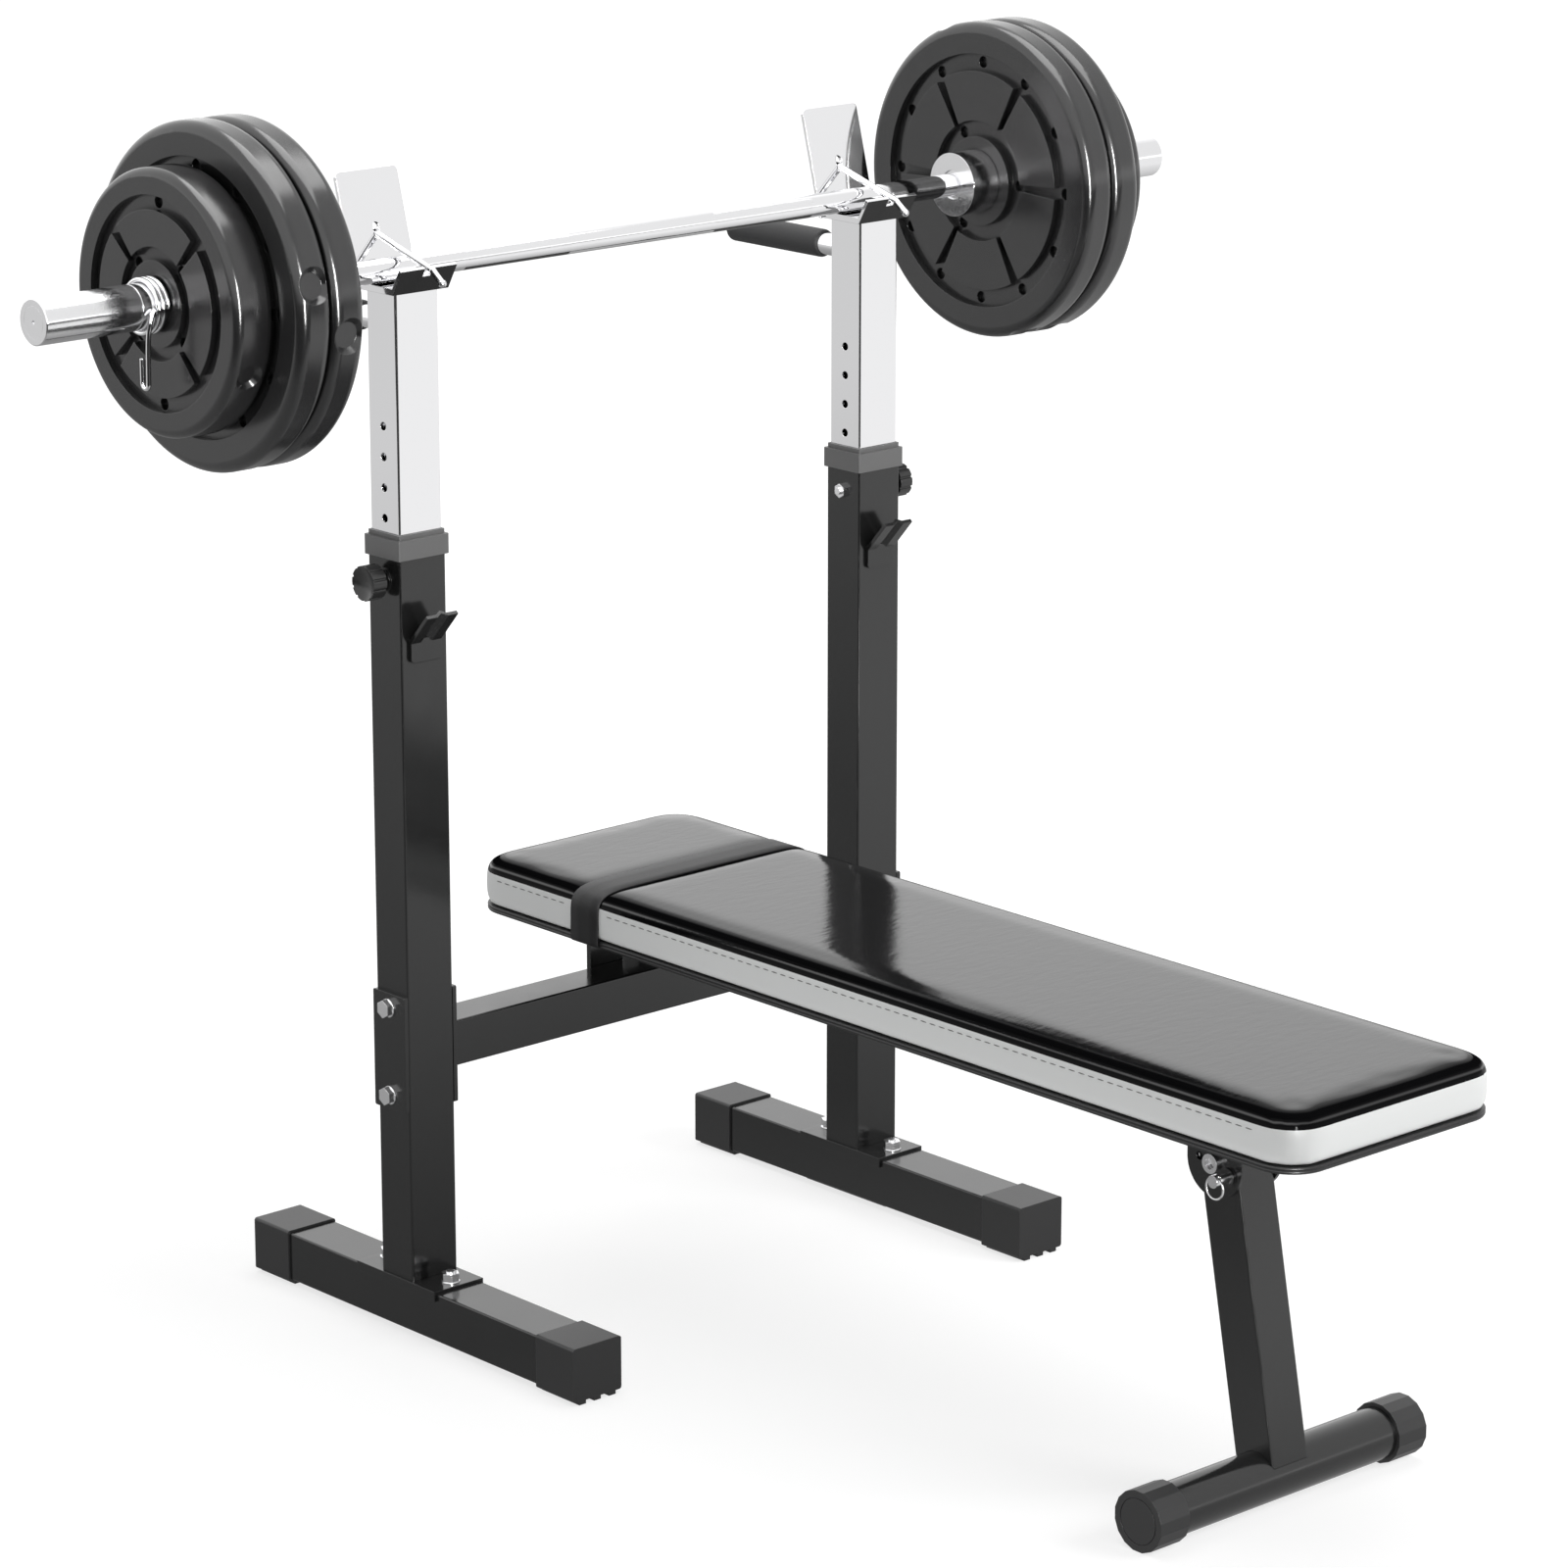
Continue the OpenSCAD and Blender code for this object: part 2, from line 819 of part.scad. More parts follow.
module height_pin() {
    color("#b9b9bb")
        translate([-knob_outer + knob_len / 2, 0, pin_z])
            along_x()
                cylinder(d = pin_d, h = knob_outer - knob_len / 2 - pin_tip);
}

module knob() {
    groove_d = 3;
    dish_r = 0.9 * knob_d;
    dish = 5;
    color("#161617")
        translate([-knob_outer, 0, pin_z])
            along_x()
                difference() {
                    cylinder(d = knob_d, h = knob_len);
                    for (i = [0 : knob_lobes - 1])
                        rotate([0, 0, i * 360 / knob_lobes])
                            translate([knob_d / 2, 0, -1])
                                cylinder(d = groove_d, h = knob_len + 2);
                    translate([0, 0, dish - dish_r])
                        sphere(dish_r);
                    translate([0, 0, knob_len / 2])
                        cylinder(d = pin_d, h = knob_len);
                }
}

// Bar

module on_bar() {
    translate([0, bar_y, bar_z])
        children();
}

module bar_shaft() {
    color("#d9d9dc")
        on_bar()
            translate([-shaft_reach, 0, 0])
                along_x()
                    cylinder(d = shaft_d, h = 2 * shaft_reach);
}

// Starts of the two bushes of a sleeve, seen from the middle of the bar
bush_starts = [sleeve_start + bush_inset, shaft_reach - bush_len - ring_t - 2 * seat_gap];

module shaft_rings() {
    color("#8a8a8c")
        on_bar()
            for (side = [0, 1], start = bush_starts)
                mirror([side, 0, 0])
                    translate([start + bush_len + seat_gap, 0, 0])
                        along_x()
                            difference() {
                                cylinder(d = sleeve_bore - 2, h = ring_t);
                                translate([0, 0, -1])
                                    cylinder(d = shaft_d, h = ring_t + 2);
                            }
}

// The sleeve and what rides in it, on the +X side
module sleeve() {
    color("#d9d9dc")
        on_bar()
            along_x()
                difference() {
                    union() {
                        translate([0, 0, sleeve_start])
                            cylinder(d = sleeve_collar_d, h = sleeve_collar_len);
                        translate([0, 0, sleeve_start])
                            cylinder(d = sleeve_d, h = sleeve_end - sleeve_start - sleeve_chamfer);
                        translate([0, 0, sleeve_end - sleeve_chamfer])
                            cylinder(d1 = sleeve_d, d2 = sleeve_d - 2 * sleeve_chamfer, h = sleeve_chamfer);
                    }
                    translate([0, 0, sleeve_end - sleeve_chamfer - sleeve_free - groove_w])
                        difference() {
                            cylinder(d = sleeve_d + 2, h = groove_w);
                            translate([0, 0, -1])
                                cylinder(d = sleeve_d - 1, h = groove_w + 2);
                        }
                    translate([0, 0, sleeve_start - 1])
                        cylinder(d = sleeve_bore, h = sleeve_end - sleeve_start + 2);
                }
}

module bushes() {
    color("#8a8a8c")
        on_bar()
            for (start = bush_starts)
                translate([start, 0, 0])
                    along_x()
                        difference() {
                            cylinder(d = sleeve_bore, h = bush_len);
                            translate([0, 0, -1])
                                cylinder(d = shaft_d + 2 * run_gap, h = bush_len + 2);
                        }
}

module sleeve_cap() {
    dimple_d = 4;
    color("#d9d9dc")
        on_bar()
            translate([sleeve_end - sleeve_cap_t, 0, 0])
                along_x()
                    difference() {
                        cylinder(d = sleeve_bore, h = sleeve_cap_t);
                        translate([0, 0, sleeve_cap_t - 1.5])
                            cylinder(d = dimple_d, h = 2);
                    }
}

// A weight plate from x = 0 to x = t: a rounded rim with two round hollows in it, and in each face
// a ring recess that holds raised sectors and round holes; angles are counted from +Y towards +Z
module weight_plate(d, t, sectors, spoke_turn, outer_holes, inner_holes, inner_turn, hollow_turn) {
    rim_in = 0.4025 * d;
    hub_r = sleeve_d / 2 + 0.075 * d;
    edge = 0.033 * d;
    sector_out = rim_in - 0.055 * d;
    sector_in = hub_r + 0.05 * d;
    sector_angle = 360 / sectors - 2 * asin(plate_channel / 2 / sector_out);
    hollow_d = 0.075 * d;
    hollow_deep = 0.0206 * d;
    hollow_mouth = hollow_d + 2 * hollow_deep;
    floors = [plate_recess - plate_hole_deep, t - plate_recess - plate_hole_deep];
    color("#232324")
        along_x()
            rotate([0, 0, 90])
                difference() {
                    union() {
                        rotate_extrude($fn = 96) {
                            translate([0, plate_recess])
                                square([rim_in + 1, t - 2 * plate_recess]);
                            square([hub_r, t]);
                            translate([rim_in, 0])
                                square([d / 2 - edge - rim_in, t]);
                            translate([rim_in, edge])
                                square([d / 2 - rim_in, t - 2 * edge]);
                            for (z = [edge, t - edge])
                                translate([d / 2 - edge, z])
                                    circle(edge);
                        }
                        for (i = [0 : sectors - 1])
                            rotate([0, 0, spoke_turn + (i + 0.5) * 360 / sectors - sector_angle / 2])
                                rotate_extrude(angle = sector_angle, $fn = 96)
                                    translate([sector_in, 0])
                                        square([sector_out - sector_in, t]);
                    }
                    translate([0, 0, -1])
                        cylinder(d = sleeve_d + 2 * plate_gap, h = t + 2);
                    for (i = [0 : outer_holes - 1], z = floors)
                        rotate([0, 0, i * 360 / outer_holes])
                            translate([(rim_in + sector_out) / 2, 0, z])
                                cylinder(d = plate_hole_d, h = 2 * plate_hole_deep);
                    for (i = [0 : inner_holes - 1], z = floors)
                        rotate([0, 0, inner_turn + i * 360 / inner_holes])
                            translate([(hub_r + sector_in) / 2, 0, z])
                                cylinder(d = plate_hole_d, h = 2 * plate_hole_deep);
                    for (i = [0, 180])
                        rotate([0, 0, hollow_turn + i])
                            translate([d / 2 - hollow_deep, 0, t / 2])
                                rotate([0, 90, 0])
                                    cylinder(d1 = hollow_d, d2 = hollow_mouth, h = hollow_deep + 1);
                }
}

// Plates on the +X side, each with its own turn on the sleeve
module large_plate(hollow_turn) {
    weight_plate(big_d, big_t, 6, 0, 12, 3, 60, hollow_turn);
}

module inner_plate(hollow_turn) {
    on_bar()
        translate([plate_start, 0, 0])
            large_plate(hollow_turn);
}

module outer_plate(hollow_turn) {
    on_bar()
        translate([outer_plate_start, 0, 0])
            large_plate(hollow_turn);
}

module small_plate(hollow_turn) {
    on_bar()
        translate([small_plate_start, 0, 0])
            weight_plate(small_d, small_t, 4, 45, 4, 4, 45, hollow_turn);
}

module mirrored_side() {
    mirror([1, 0, 0])
        children();
}

// Spring clip: turns round the sleeve, then a handle that hangs down and ends in a narrow loop
clip_turns = 3;
rings_per_turn = 8;
wire_sides = 6;
clip_r = (sleeve_d / 2 + plate_gap + clip_wire / 2) / cos(180 / rings_per_turn);
clip_loop = 10;
clip_x0 = clip_start + clip_wire / 2;

// Route of the wire in the bar's own frame, as [x, y, z] points
coil_points = [
    for (i = [0 : clip_turns * rings_per_turn])
        let (turn = i / rings_per_turn, angle = 180 - 360 * turn)
            [clip_x0 + clip_pitch * turn, clip_r * cos(angle), clip_r * sin(angle)]
];
coil_end = coil_points[len(coil_points) - 1];
handle_x = coil_end[0] + clip_wire;
handle_y = -clip_r;
handle_low = -clip_r - clip_handle + clip_loop / 2;
handle_points = concat(
    [[handle_x, handle_y, -clip_r * 0.35], [handle_x + 1, handle_y + 4, -clip_r]],
    [
        for (i = [0 : 6])
            let (angle = 180 + i * 30, r = clip_loop / 2)
                [handle_x + 1, handle_y + 4 + r * (1 + cos(angle)), handle_low + r * sin(angle)]
    ],
    [[handle_x + 1, handle_y + 4 + clip_loop, handle_low + 24]]
);
clip_points = concat(coil_points, handle_points);

// Least gap of the wire to itself, measured between points that are not neighbours along it
clip_self_gap = min([
    for (i = [0 : len(clip_points) - 1], j = [i + 4 : 1 : len(clip_points) - 1])
        norm(clip_points[i] - clip_points[j])
]) - clip_wire;
echo(clip_self_gap = clip_self_gap);

function unit(v) = v / norm(v);

// Direction of a route at one of its points
function route_dir(pts, i) = unit(pts[min(i + 1, len(pts) - 1)] - pts[max(i - 1, 0)]);

// A frame carried along the route without twist
function carried_normals(pts, i = 0, last = [1, 0, 0], found = []) =
    i == len(pts) ? found :
    let (
        dir = route_dir(pts, i),
        normal = unit(last - (last * dir) * dir)
    )
    carried_normals(pts, i + 1, normal, concat(found, [normal]));

module swept_wire(pts, d, sides) {
    normals = carried_normals(pts);
    rings = len(pts);
    points = [
        for (i = [0 : rings - 1])
            let (dir = route_dir(pts, i), a = normals[i], b = cross(dir, a))
                for (s = [0 : sides - 1])
                    pts[i] + d / 2 * (cos(360 * s / sides) * a + sin(360 * s / sides) * b)
    ];
    side_faces = [
        for (i = [0 : rings - 2], s = [0 : sides - 1])
            let (p = i * sides + s, q = i * sides + (s + 1) % sides)
                each [[p, p + sides, q], [q, p + sides, q + sides]]
    ];
    start_face = [for (s = [1 : sides - 2]) [0, s, s + 1]];
    last_ring = (rings - 1) * sides;
    end_face = [for (s = [1 : sides - 2]) [last_ring, last_ring + s + 1, last_ring + s]];
    polyhedron(points, concat(side_faces, start_face, end_face));
}

module clip() {
    color("#c9c9cc")
        on_bar()
            swept_wire(clip_points, clip_wire, wire_sides);
}

// Bench

module bench_rail() {
    rail_front = -pivot_y - bracket_r;
    color("#1b1b1c")
        difference() {
            union() {
                translate([0, rail_front, pad_z - rail_h / 2])
                    along_y()
                        square_tube(rail_w, rail_h, rail_rear - rail_front);
                // Tongue that reaches back between the hinge ears
                translate([-tongue_w / 2, rail_rear - tongue_in, rail_bottom + tube_wall - 0.5])
                    cube([tongue_w, tongue_in + hinge_y - rail_rear, rail_h - 2 * tube_wall]);
                translate([-tongue_w / 2, hinge_y - ear_round, hinge_z])
                    cube([tongue_w, ear_round, rail_bottom + tube_wall + 1 - hinge_z]);
                translate([-tongue_w / 2, hinge_y, hinge_z])
                    along_x()
                        cylinder(r = ear_round, h = tongue_w);
            }
            translate([-tongue_w, hinge_y, hinge_z])
                along_x()
                    cylinder(d = hinge_d + 2 * run_gap, h = 2 * tongue_w);
            for (y = screw_places)
                translate([0, y, rail_bottom - 1])
                    cylinder(d = screw_d + 1, h = rail_h + 2);
        }
}

// Screws that hold the board on the rail, spread along the rail
screw_first = rail_rear - tongue_in - 40;
screw_last = -pivot_y + bracket_r + 20;
screw_places = [
    for (i = [0 : screw_count - 1])
        screw_first + i * (screw_last - screw_first) / (screw_count - 1)
];

module pad_screws() {
    head_d = 2 * screw_d;
    color("#c8c8ca")
        for (y = screw_places) {
            translate([0, y, rail_bottom - screw_head_t])
                cylinder(d = head_d, h = screw_head_t);
            translate([0, y, rail_bottom - screw_head_t])
                cylinder(d = screw_d, h = rail_h + screw_head_t + screw_into_board);
        }
}

module pad_board() {
    color("#121213")
        difference() {
            translate([0, pad_mid, pad_z])
                solid_bar(pad_w, pad_len, board_t, pad_corner);
            for (y = screw_places)
                translate([0, y, pad_z - 1])
                    cylinder(d = screw_d, h = screw_into_board + 1);
        }
}

// Rings of the cushion from its foot to its crown: [inset from the pad's outline, height above the board]
cushion_rings = concat(
    [for (i = [0 : 4]) let (u = i / 4) [1.5 + cushion_draw * sin(180 * u), u * (cushion_side - 8)]],
    [for (a = [30, 60, 90]) [1.5 + 8 * (1 - cos(a)), cushion_side - 8 + 8 * sin(a)]],
    [for (u = [0.3, 0.6, 0.9]) [1.5 + 8 + u * cushion_roll, cushion_side + cushion_crown * sin(90 * u)]]
);

// Outline of the pad seen from above, drawn in by an inset, as [x, y] points round it
function pad_outline(inset) = [
    for (corner = [0 : 3], step = [0 : corner_steps])
        let (
            angle = 90 * corner + 90 * step / corner_steps,
            r = max(pad_corner - inset, 6),
            sx = (corner == 0 || corner == 3) ? 1 : -1,
            sy = corner < 2 ? 1 : -1
        )
            [
                sx * (pad_w / 2 - inset - r) + r * cos(angle),
                pad_mid + sy * (pad_len / 2 - inset - r) + r * sin(angle)
            ]
];

module pad_cushion() {
    count = 4 * (corner_steps + 1);
    rings = len(cushion_rings);
    points = concat(
        [
            for (ring = cushion_rings)
                for (p = pad_outline(ring[0]))
                    [p[0], p[1], cushion_z + ring[1]]
        ],
        [[0, pad_mid, cushion_z], [0, pad_mid, cushion_z + cushion_side + cushion_crown]]
    );
    side_faces = [
        for (k = [0 : rings - 2], s = [0 : count - 1])
            let (p = k * count + s, q = k * count + (s + 1) % count)
                each [[p, p + count, q], [q, p + count, q + count]]
    ];
    last_ring = (rings - 1) * count;
    under = [for (s = [0 : count - 1]) [s, (s + 1) % count, rings * count]];
    crown = [for (s = [0 : count - 1]) [last_ring + (s + 1) % count, last_ring + s, rings * count + 1]];
    color("#2a2a2c")
        polyhedron(points, concat(side_faces, under, crown));
}

// Half section of the pad across its length, grown by a margin, from its underside to its middle line
function pad_section(grow) = concat(
    [[0, -board_t - grow], [pad_w / 2 + grow, -board_t - grow], [pad_w / 2 + grow, grow]],
    [
        for (ring = cushion_rings)
            if (ring[1] > 2)
                [pad_w / 2 - ring[0] + (ring[0] < 11 ? grow : 0), ring[1] + (ring[1] > 8 ? grow : 0)]
    ],
    [[0, cushion_side + cushion_crown + grow]]
);

module pad_strap() {
    open_under = 70;
    color("#101011")
        translate([0, -strap_y + strap_w / 2, cushion_z])
            rotate([90, 0, 0])
                linear_extrude(strap_w)
                    for (side = [0, 1])
                        mirror([side, 0])
                            difference() {
                                polygon(pad_section(seat_gap + strap_t));
                                polygon(pad_section(seat_gap));
                                translate([-1, -board_t - 10])
                                    square([open_under + 1, 20]);
                            }
}

module leg_bracket() {
    side_h = pad_z - pivot_z;
    color("#1b1b1c")
        difference() {
            union() {
                for (x = [-bracket_outer, bracket_inner]) {
                    translate([x, -pivot_y - bracket_r, pivot_z])
                        cube([bracket_t, 2 * bracket_r, side_h]);
                    translate([x, -pivot_y, pivot_z])
                        along_x()
                            cylinder(r = bracket_r, h = bracket_t);
                }
                translate([-bracket_outer - lock_boss_len, -pivot_y + lock_y, pivot_z + lock_z])
                    along_x()
                        cylinder(d = lock_boss_d, h = lock_boss_len + 0.5);
            }
            translate([-bracket_outer - 1, -pivot_y, pivot_z])
                along_x()
                    cylinder(d = hinge_d + 2 * run_gap, h = 2 * bracket_outer + 2);
            translate([-bracket_outer - lock_boss_len - 1, -pivot_y + lock_y, pivot_z + lock_z])
                along_x()
                    cylinder(d = lock_d + 2 * pin_gap, h = lock_boss_len + bracket_t + 2);
            translate([-bracket_outer - 1, -pivot_y + 20, pivot_z + 2])
                along_x()
                    cylinder(d = lock_d + 2 * pin_gap, h = 2 * bracket_outer + 2);
        }
}

module leg_pivot_bolt() {
    translate([0, -pivot_y, pivot_z])
        cross_bolt(bracket_outer, hinge_d);
}

module leg_tube() {
    color("#1b1b1c")
        difference() {
            translate([0, -pivot_y, pivot_z])
                rotate([-leg_lean, 0, 0])
                    translate([0, 0, -leg_drop])
                        square_tube(leg_w, leg_w, leg_drop + leg_over);
            translate([-leg_w, -pivot_y, pivot_z])
                along_x()
                    cylinder(d = hinge_d + 2 * run_gap, h = 2 * leg_w);
            translate([-leg_w, -pivot_y + lock_y, pivot_z + lock_z])
                along_x()
                    cylinder(d = lock_d + 2 * pin_gap, h = 2 * leg_w);
            translate([-leg_w, leg_foot_y, leg_foot_z])
                along_x()
                    cylinder(d = leg_foot_d, h = 2 * leg_w);
        }
}

module leg_foot() {
    cap_end = 4;
    length = 2 * (leg_foot_reach - cap_end);
    color("#1b1b1c")
        translate([-length / 2, leg_foot_y, leg_foot_z])
            along_x()
                difference() {
                    cylinder(d = leg_foot_d, h = length);
                    translate([0, 0, -1])
                        cylinder(d = leg_foot_d - 2 * tube_wall, h = length + 2);
                }
}

module leg_foot_caps() {
    flats = 16;
    cap_end = 4;
    ring_line_d = leg_cap_d - 14;
    corner_r = leg_cap_d / 2 / cos(180 / flats);
    color("#161617")
        for (side = [0, 1])
            mirror([side, 0, 0])
                translate([leg_foot_reach - leg_cap_len, leg_foot_y, leg_foot_z])
                    along_x()
                        difference() {
                            linear_extrude(leg_cap_len)
                                polygon([
                                    for (i = [0 : flats - 1])
                                        let (angle = (i + 0.5) * 360 / flats)
                                            corner_r * [cos(angle), sin(angle)]
                                ]);
                            translate([0, 0, -1])
                                cylinder(d = leg_foot_d, h = leg_cap_len - cap_end + 1);
                            translate([0, 0, leg_cap_len - 1])
                                difference() {
                                    cylinder(d = ring_line_d, h = 2);
                                    translate([0, 0, -1])
                                        cylinder(d = ring_line_d - 2, h = 4);
                                }
                        }
}

module at_lock() {
    translate([0, -pivot_y + lock_y, pivot_z + lock_z])
        children();
}

module leg_pin() {
    color("#c8c8ca")
        at_lock()
            difference() {
                union() {
                    translate([-lock_head_inner, 0, 0])
                        along_x()
                            cylinder(d = lock_d, h = lock_head_inner - lock_tip);
                    translate([-lock_head_inner - lock_head_len, 0, 0])
                        along_x()
                            cylinder(d = lock_head_d, h = lock_head_len);
                }
                translate([-lock_head_inner - lock_head_len / 2, -lock_head_d, ring_hook - ring_bow / 2])
                    along_y()
                        cylinder(d = ring_hole, h = 2 * lock_head_d);
            }
}

module leg_pin_ring() {
    color("#c8c8ca")
        at_lock()
            translate([-lock_head_inner - lock_head_len / 2, 0, ring_hook - ring_r])
                along_x()
                    rotate_extrude()
                        translate([ring_r, 0])
                            circle(d = ring_wire, $fn = 24);
}

module placed() {
    translate([0, -origin_y, 0])
        children();
}

placed() on_left() foot_tube();  // left_foot_tube
placed() on_right() foot_tube();  // right_foot_tube
placed() foot_caps();
placed() on_left() saddle();  // left_saddle
placed() on_right() saddle();  // right_saddle
placed() clamp_plates();
placed() foot_bolts();
placed() on_left() upright();  // left_upright
placed() on_right() upright();  // right_upright
placed() on_left() collar();  // left_collar
placed() on_right() collar();  // right_collar
placed() guide_screws();
placed() on_left() hook();  // left_hook
placed() on_right() hook();  // right_hook
placed() cross_tube();
placed() flange_plates();
placed() flange_bolts();
placed() hinge_bolt();
placed() on_left() post();  // left_post
placed() on_left() cradle();  // left_cradle
placed() on_left() dip_bar();  // left_dip_bar
placed() on_left() grip();  // left_grip
placed() on_right() post();  // right_post
placed() on_right() cradle();  // right_cradle
placed() on_right() dip_bar();  // right_dip_bar
placed() on_right() grip();  // right_grip
placed() on_left() latch();  // left_latch
placed() on_right() latch();  // right_latch
placed() on_left() height_pin();  // left_pin
placed() on_left() knob();  // left_knob
placed() on_right() height_pin();  // right_pin
placed() on_right() knob();  // right_knob
placed() bar_shaft();
placed() shaft_rings();
placed() mirrored_side() sleeve();  // left_sleeve
placed() mirrored_side() bushes();  // left_bushes
placed() mirrored_side() sleeve_cap();  // left_sleeve_cap
placed() sleeve();  // right_sleeve
placed() bushes();  // right_bushes
placed() sleeve_cap();  // right_sleeve_cap
placed() mirrored_side() inner_plate(187);  // left_inner_plate
placed() mirrored_side() outer_plate(169);  // left_outer_plate
placed() mirrored_side() small_plate(206);  // left_small_plate
placed() inner_plate(70);  // right_inner_plate
placed() outer_plate(70);  // right_outer_plate
placed() small_plate(70);  // right_small_plate
placed() mirrored_side() clip();  // left_clip
placed() clip();  // right_clip
placed() bench_rail();
placed() pad_board();
placed() pad_cushion();
placed() pad_strap();
placed() pad_screws();
placed() leg_bracket();
placed() leg_pivot_bolt();
placed() leg_tube();
placed() leg_foot();
placed() leg_foot_caps();
placed() leg_pin();
placed() leg_pin_ring();
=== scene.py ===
import math

import bpy
import numpy as np
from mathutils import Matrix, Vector
from mathutils.bvhtree import BVHTree


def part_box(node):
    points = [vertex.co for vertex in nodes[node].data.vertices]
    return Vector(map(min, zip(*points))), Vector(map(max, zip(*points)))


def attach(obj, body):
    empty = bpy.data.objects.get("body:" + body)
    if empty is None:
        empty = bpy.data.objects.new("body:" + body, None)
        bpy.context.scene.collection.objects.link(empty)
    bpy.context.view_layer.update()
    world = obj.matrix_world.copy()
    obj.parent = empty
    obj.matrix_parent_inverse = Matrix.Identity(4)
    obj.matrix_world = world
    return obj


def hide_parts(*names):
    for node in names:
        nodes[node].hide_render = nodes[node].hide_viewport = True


MM = 0.001

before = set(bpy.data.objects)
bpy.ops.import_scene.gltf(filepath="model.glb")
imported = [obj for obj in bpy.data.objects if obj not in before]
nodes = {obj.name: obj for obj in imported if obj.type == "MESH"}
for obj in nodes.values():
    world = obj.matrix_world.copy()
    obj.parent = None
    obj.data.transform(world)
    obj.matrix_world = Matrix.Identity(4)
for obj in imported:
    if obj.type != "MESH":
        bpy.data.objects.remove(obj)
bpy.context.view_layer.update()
scene = bpy.context.scene

SIDES = ("left", "right")
SLEEVE_R = 23.25 * MM

# Colours

CHROME_WHITE = (0.88, 0.88, 0.89)
SLEEVE_WHITE = (0.84, 0.84, 0.85)
SHAFT_WHITE = (0.86, 0.86, 0.87)
# Painted shade on the underside of the bar's grip
SHAFT_PAINTED_SHADE = (0.05, 0.05, 0.05)
ROD_GREY = (0.74, 0.74, 0.75)
# Painted dark reflection on the down-facing faces of the cradles
CRADLE_PAINTED_DARK = (0.008, 0.008, 0.008)
PAINT_BLACK = (0.011, 0.0112, 0.0112)
PLASTIC_BLACK = (0.02, 0.02, 0.0205)
KNOB_BLACK = (0.02, 0.02, 0.02)
COLLAR_GREY = (0.12, 0.12, 0.12)
RUBBER_BLACK = (0.02, 0.02, 0.0205)
# Painted shade in the hollows of the plates
RUBBER_PAINTED_SHADE = (0.001, 0.001, 0.001)
FOAM_BLACK = (0.018, 0.018, 0.019)
COVER_BLACK = (0.003, 0.003, 0.0033)
BAND_GREY = (0.68, 0.69, 0.685)
BOARD_BLACK = (0.014, 0.014, 0.0145)
WEBBING_BLACK = (0.008, 0.008, 0.0085)
THREAD_GREY = (0.12, 0.12, 0.12)


# Tools for the finishes

def new_finish(name, colour, roughness, metallic=0.0):
    """A plain finish: one colour, one roughness, either metal or not."""
    finish = bpy.data.materials.new(name)
    finish.use_nodes = True
    surface = finish.node_tree.nodes["Principled BSDF"]
    surface.inputs["Base Color"].default_value = (*colour, 1)
    surface.inputs["Roughness"].default_value = roughness
    surface.inputs["Metallic"].default_value = metallic
    return finish, finish.node_tree, surface


def piece_coords(tree, scale=(1, 1, 1), turn=(0, 0, 0)):
    """Coordinates of the piece itself, in metres, stretched and turned as asked."""
    coords = tree.nodes.new("ShaderNodeTexCoord")
    mapping = tree.nodes.new("ShaderNodeMapping")
    mapping.inputs["Scale"].default_value = scale
    mapping.inputs["Rotation"].default_value = turn
    tree.links.new(coords.outputs["Object"], mapping.inputs["Vector"])
    return mapping.outputs["Vector"]


def part_of(tree, vector, axis):
    """The X, Y or Z part of a vector."""
    split = tree.nodes.new("ShaderNodeSeparateXYZ")
    tree.links.new(vector, split.inputs["Vector"])
    return split.outputs[axis]


def facing_up(tree):
    """How far the surface of the piece faces up: 1 on top, 0 at the sides, -1 below."""
    coords = tree.nodes.new("ShaderNodeTexCoord")
    return part_of(tree, coords.outputs["Normal"], "Z")


def noise(tree, vector, scale, detail=2.0):
    """Soft random field from 0 to 1 with that many cells to the metre."""
    node = tree.nodes.new("ShaderNodeTexNoise")
    node.inputs["Scale"].default_value = scale
    node.inputs["Detail"].default_value = detail
    tree.links.new(vector, node.inputs["Vector"])
    return node.outputs["Fac"]


def math_node(tree, operation, first, second=None):
    """One step of arithmetic on sockets or plain numbers."""
    node = tree.nodes.new("ShaderNodeMath")
    node.operation = operation
    for socket, value in zip(node.inputs, (first, second)):
        if value is None:
            continue
        if isinstance(value, (int, float)):
            socket.default_value = value
        else:
            tree.links.new(value, socket)
    return node.outputs["Value"]


def spread(tree, value, from_low, from_high, low, high):
    """Carries a value from one range to another and holds it at the ends."""
    node = tree.nodes.new("ShaderNodeMapRange")
    for name, number in (("From Min", from_low), ("From Max", from_high), ("To Min", low), ("To Max", high)):
        node.inputs[name].default_value = number
    tree.links.new(value, node.inputs["Value"])
    return node.outputs["Result"]


def along(tree, vector, direction):
    """How far a vector reaches along a direction."""
    node = tree.nodes.new("ShaderNodeVectorMath")
    node.operation = "DOT_PRODUCT"
    node.inputs[1].default_value = direction
    tree.links.new(vector, node.inputs[0])
    return node.outputs["Value"]


def line_through(tree, value, points):
    """Reads a level off straight lines drawn through points, each a place and a level up to 1."""
    first, last = points[0][0], points[-1][0]
    ramp = tree.nodes.new("ShaderNodeValToRGB")
    stops = ramp.color_ramp.elements
    while len(stops) < len(points):
        stops.new(0.5)
    for stop, (place, level) in zip(stops, points):
        stop.position = (place - first) / (last - first)
        stop.color = (level, level, level, 1)
    tree.links.new(spread(tree, value, first, last, 0, 1), ramp.inputs["Fac"])
    return ramp.outputs["Color"]


def mixed_colour(tree, factor, first, second):
    """Goes from the first colour at 0 to the second at 1."""
    node = tree.nodes.new("ShaderNodeMix")
    node.data_type = "RGBA"
    node.inputs["A"].default_value = (*first, 1)
    node.inputs["B"].default_value = (*second, 1)
    tree.links.new(factor, node.inputs["Factor"])
    return node.outputs["Result"]


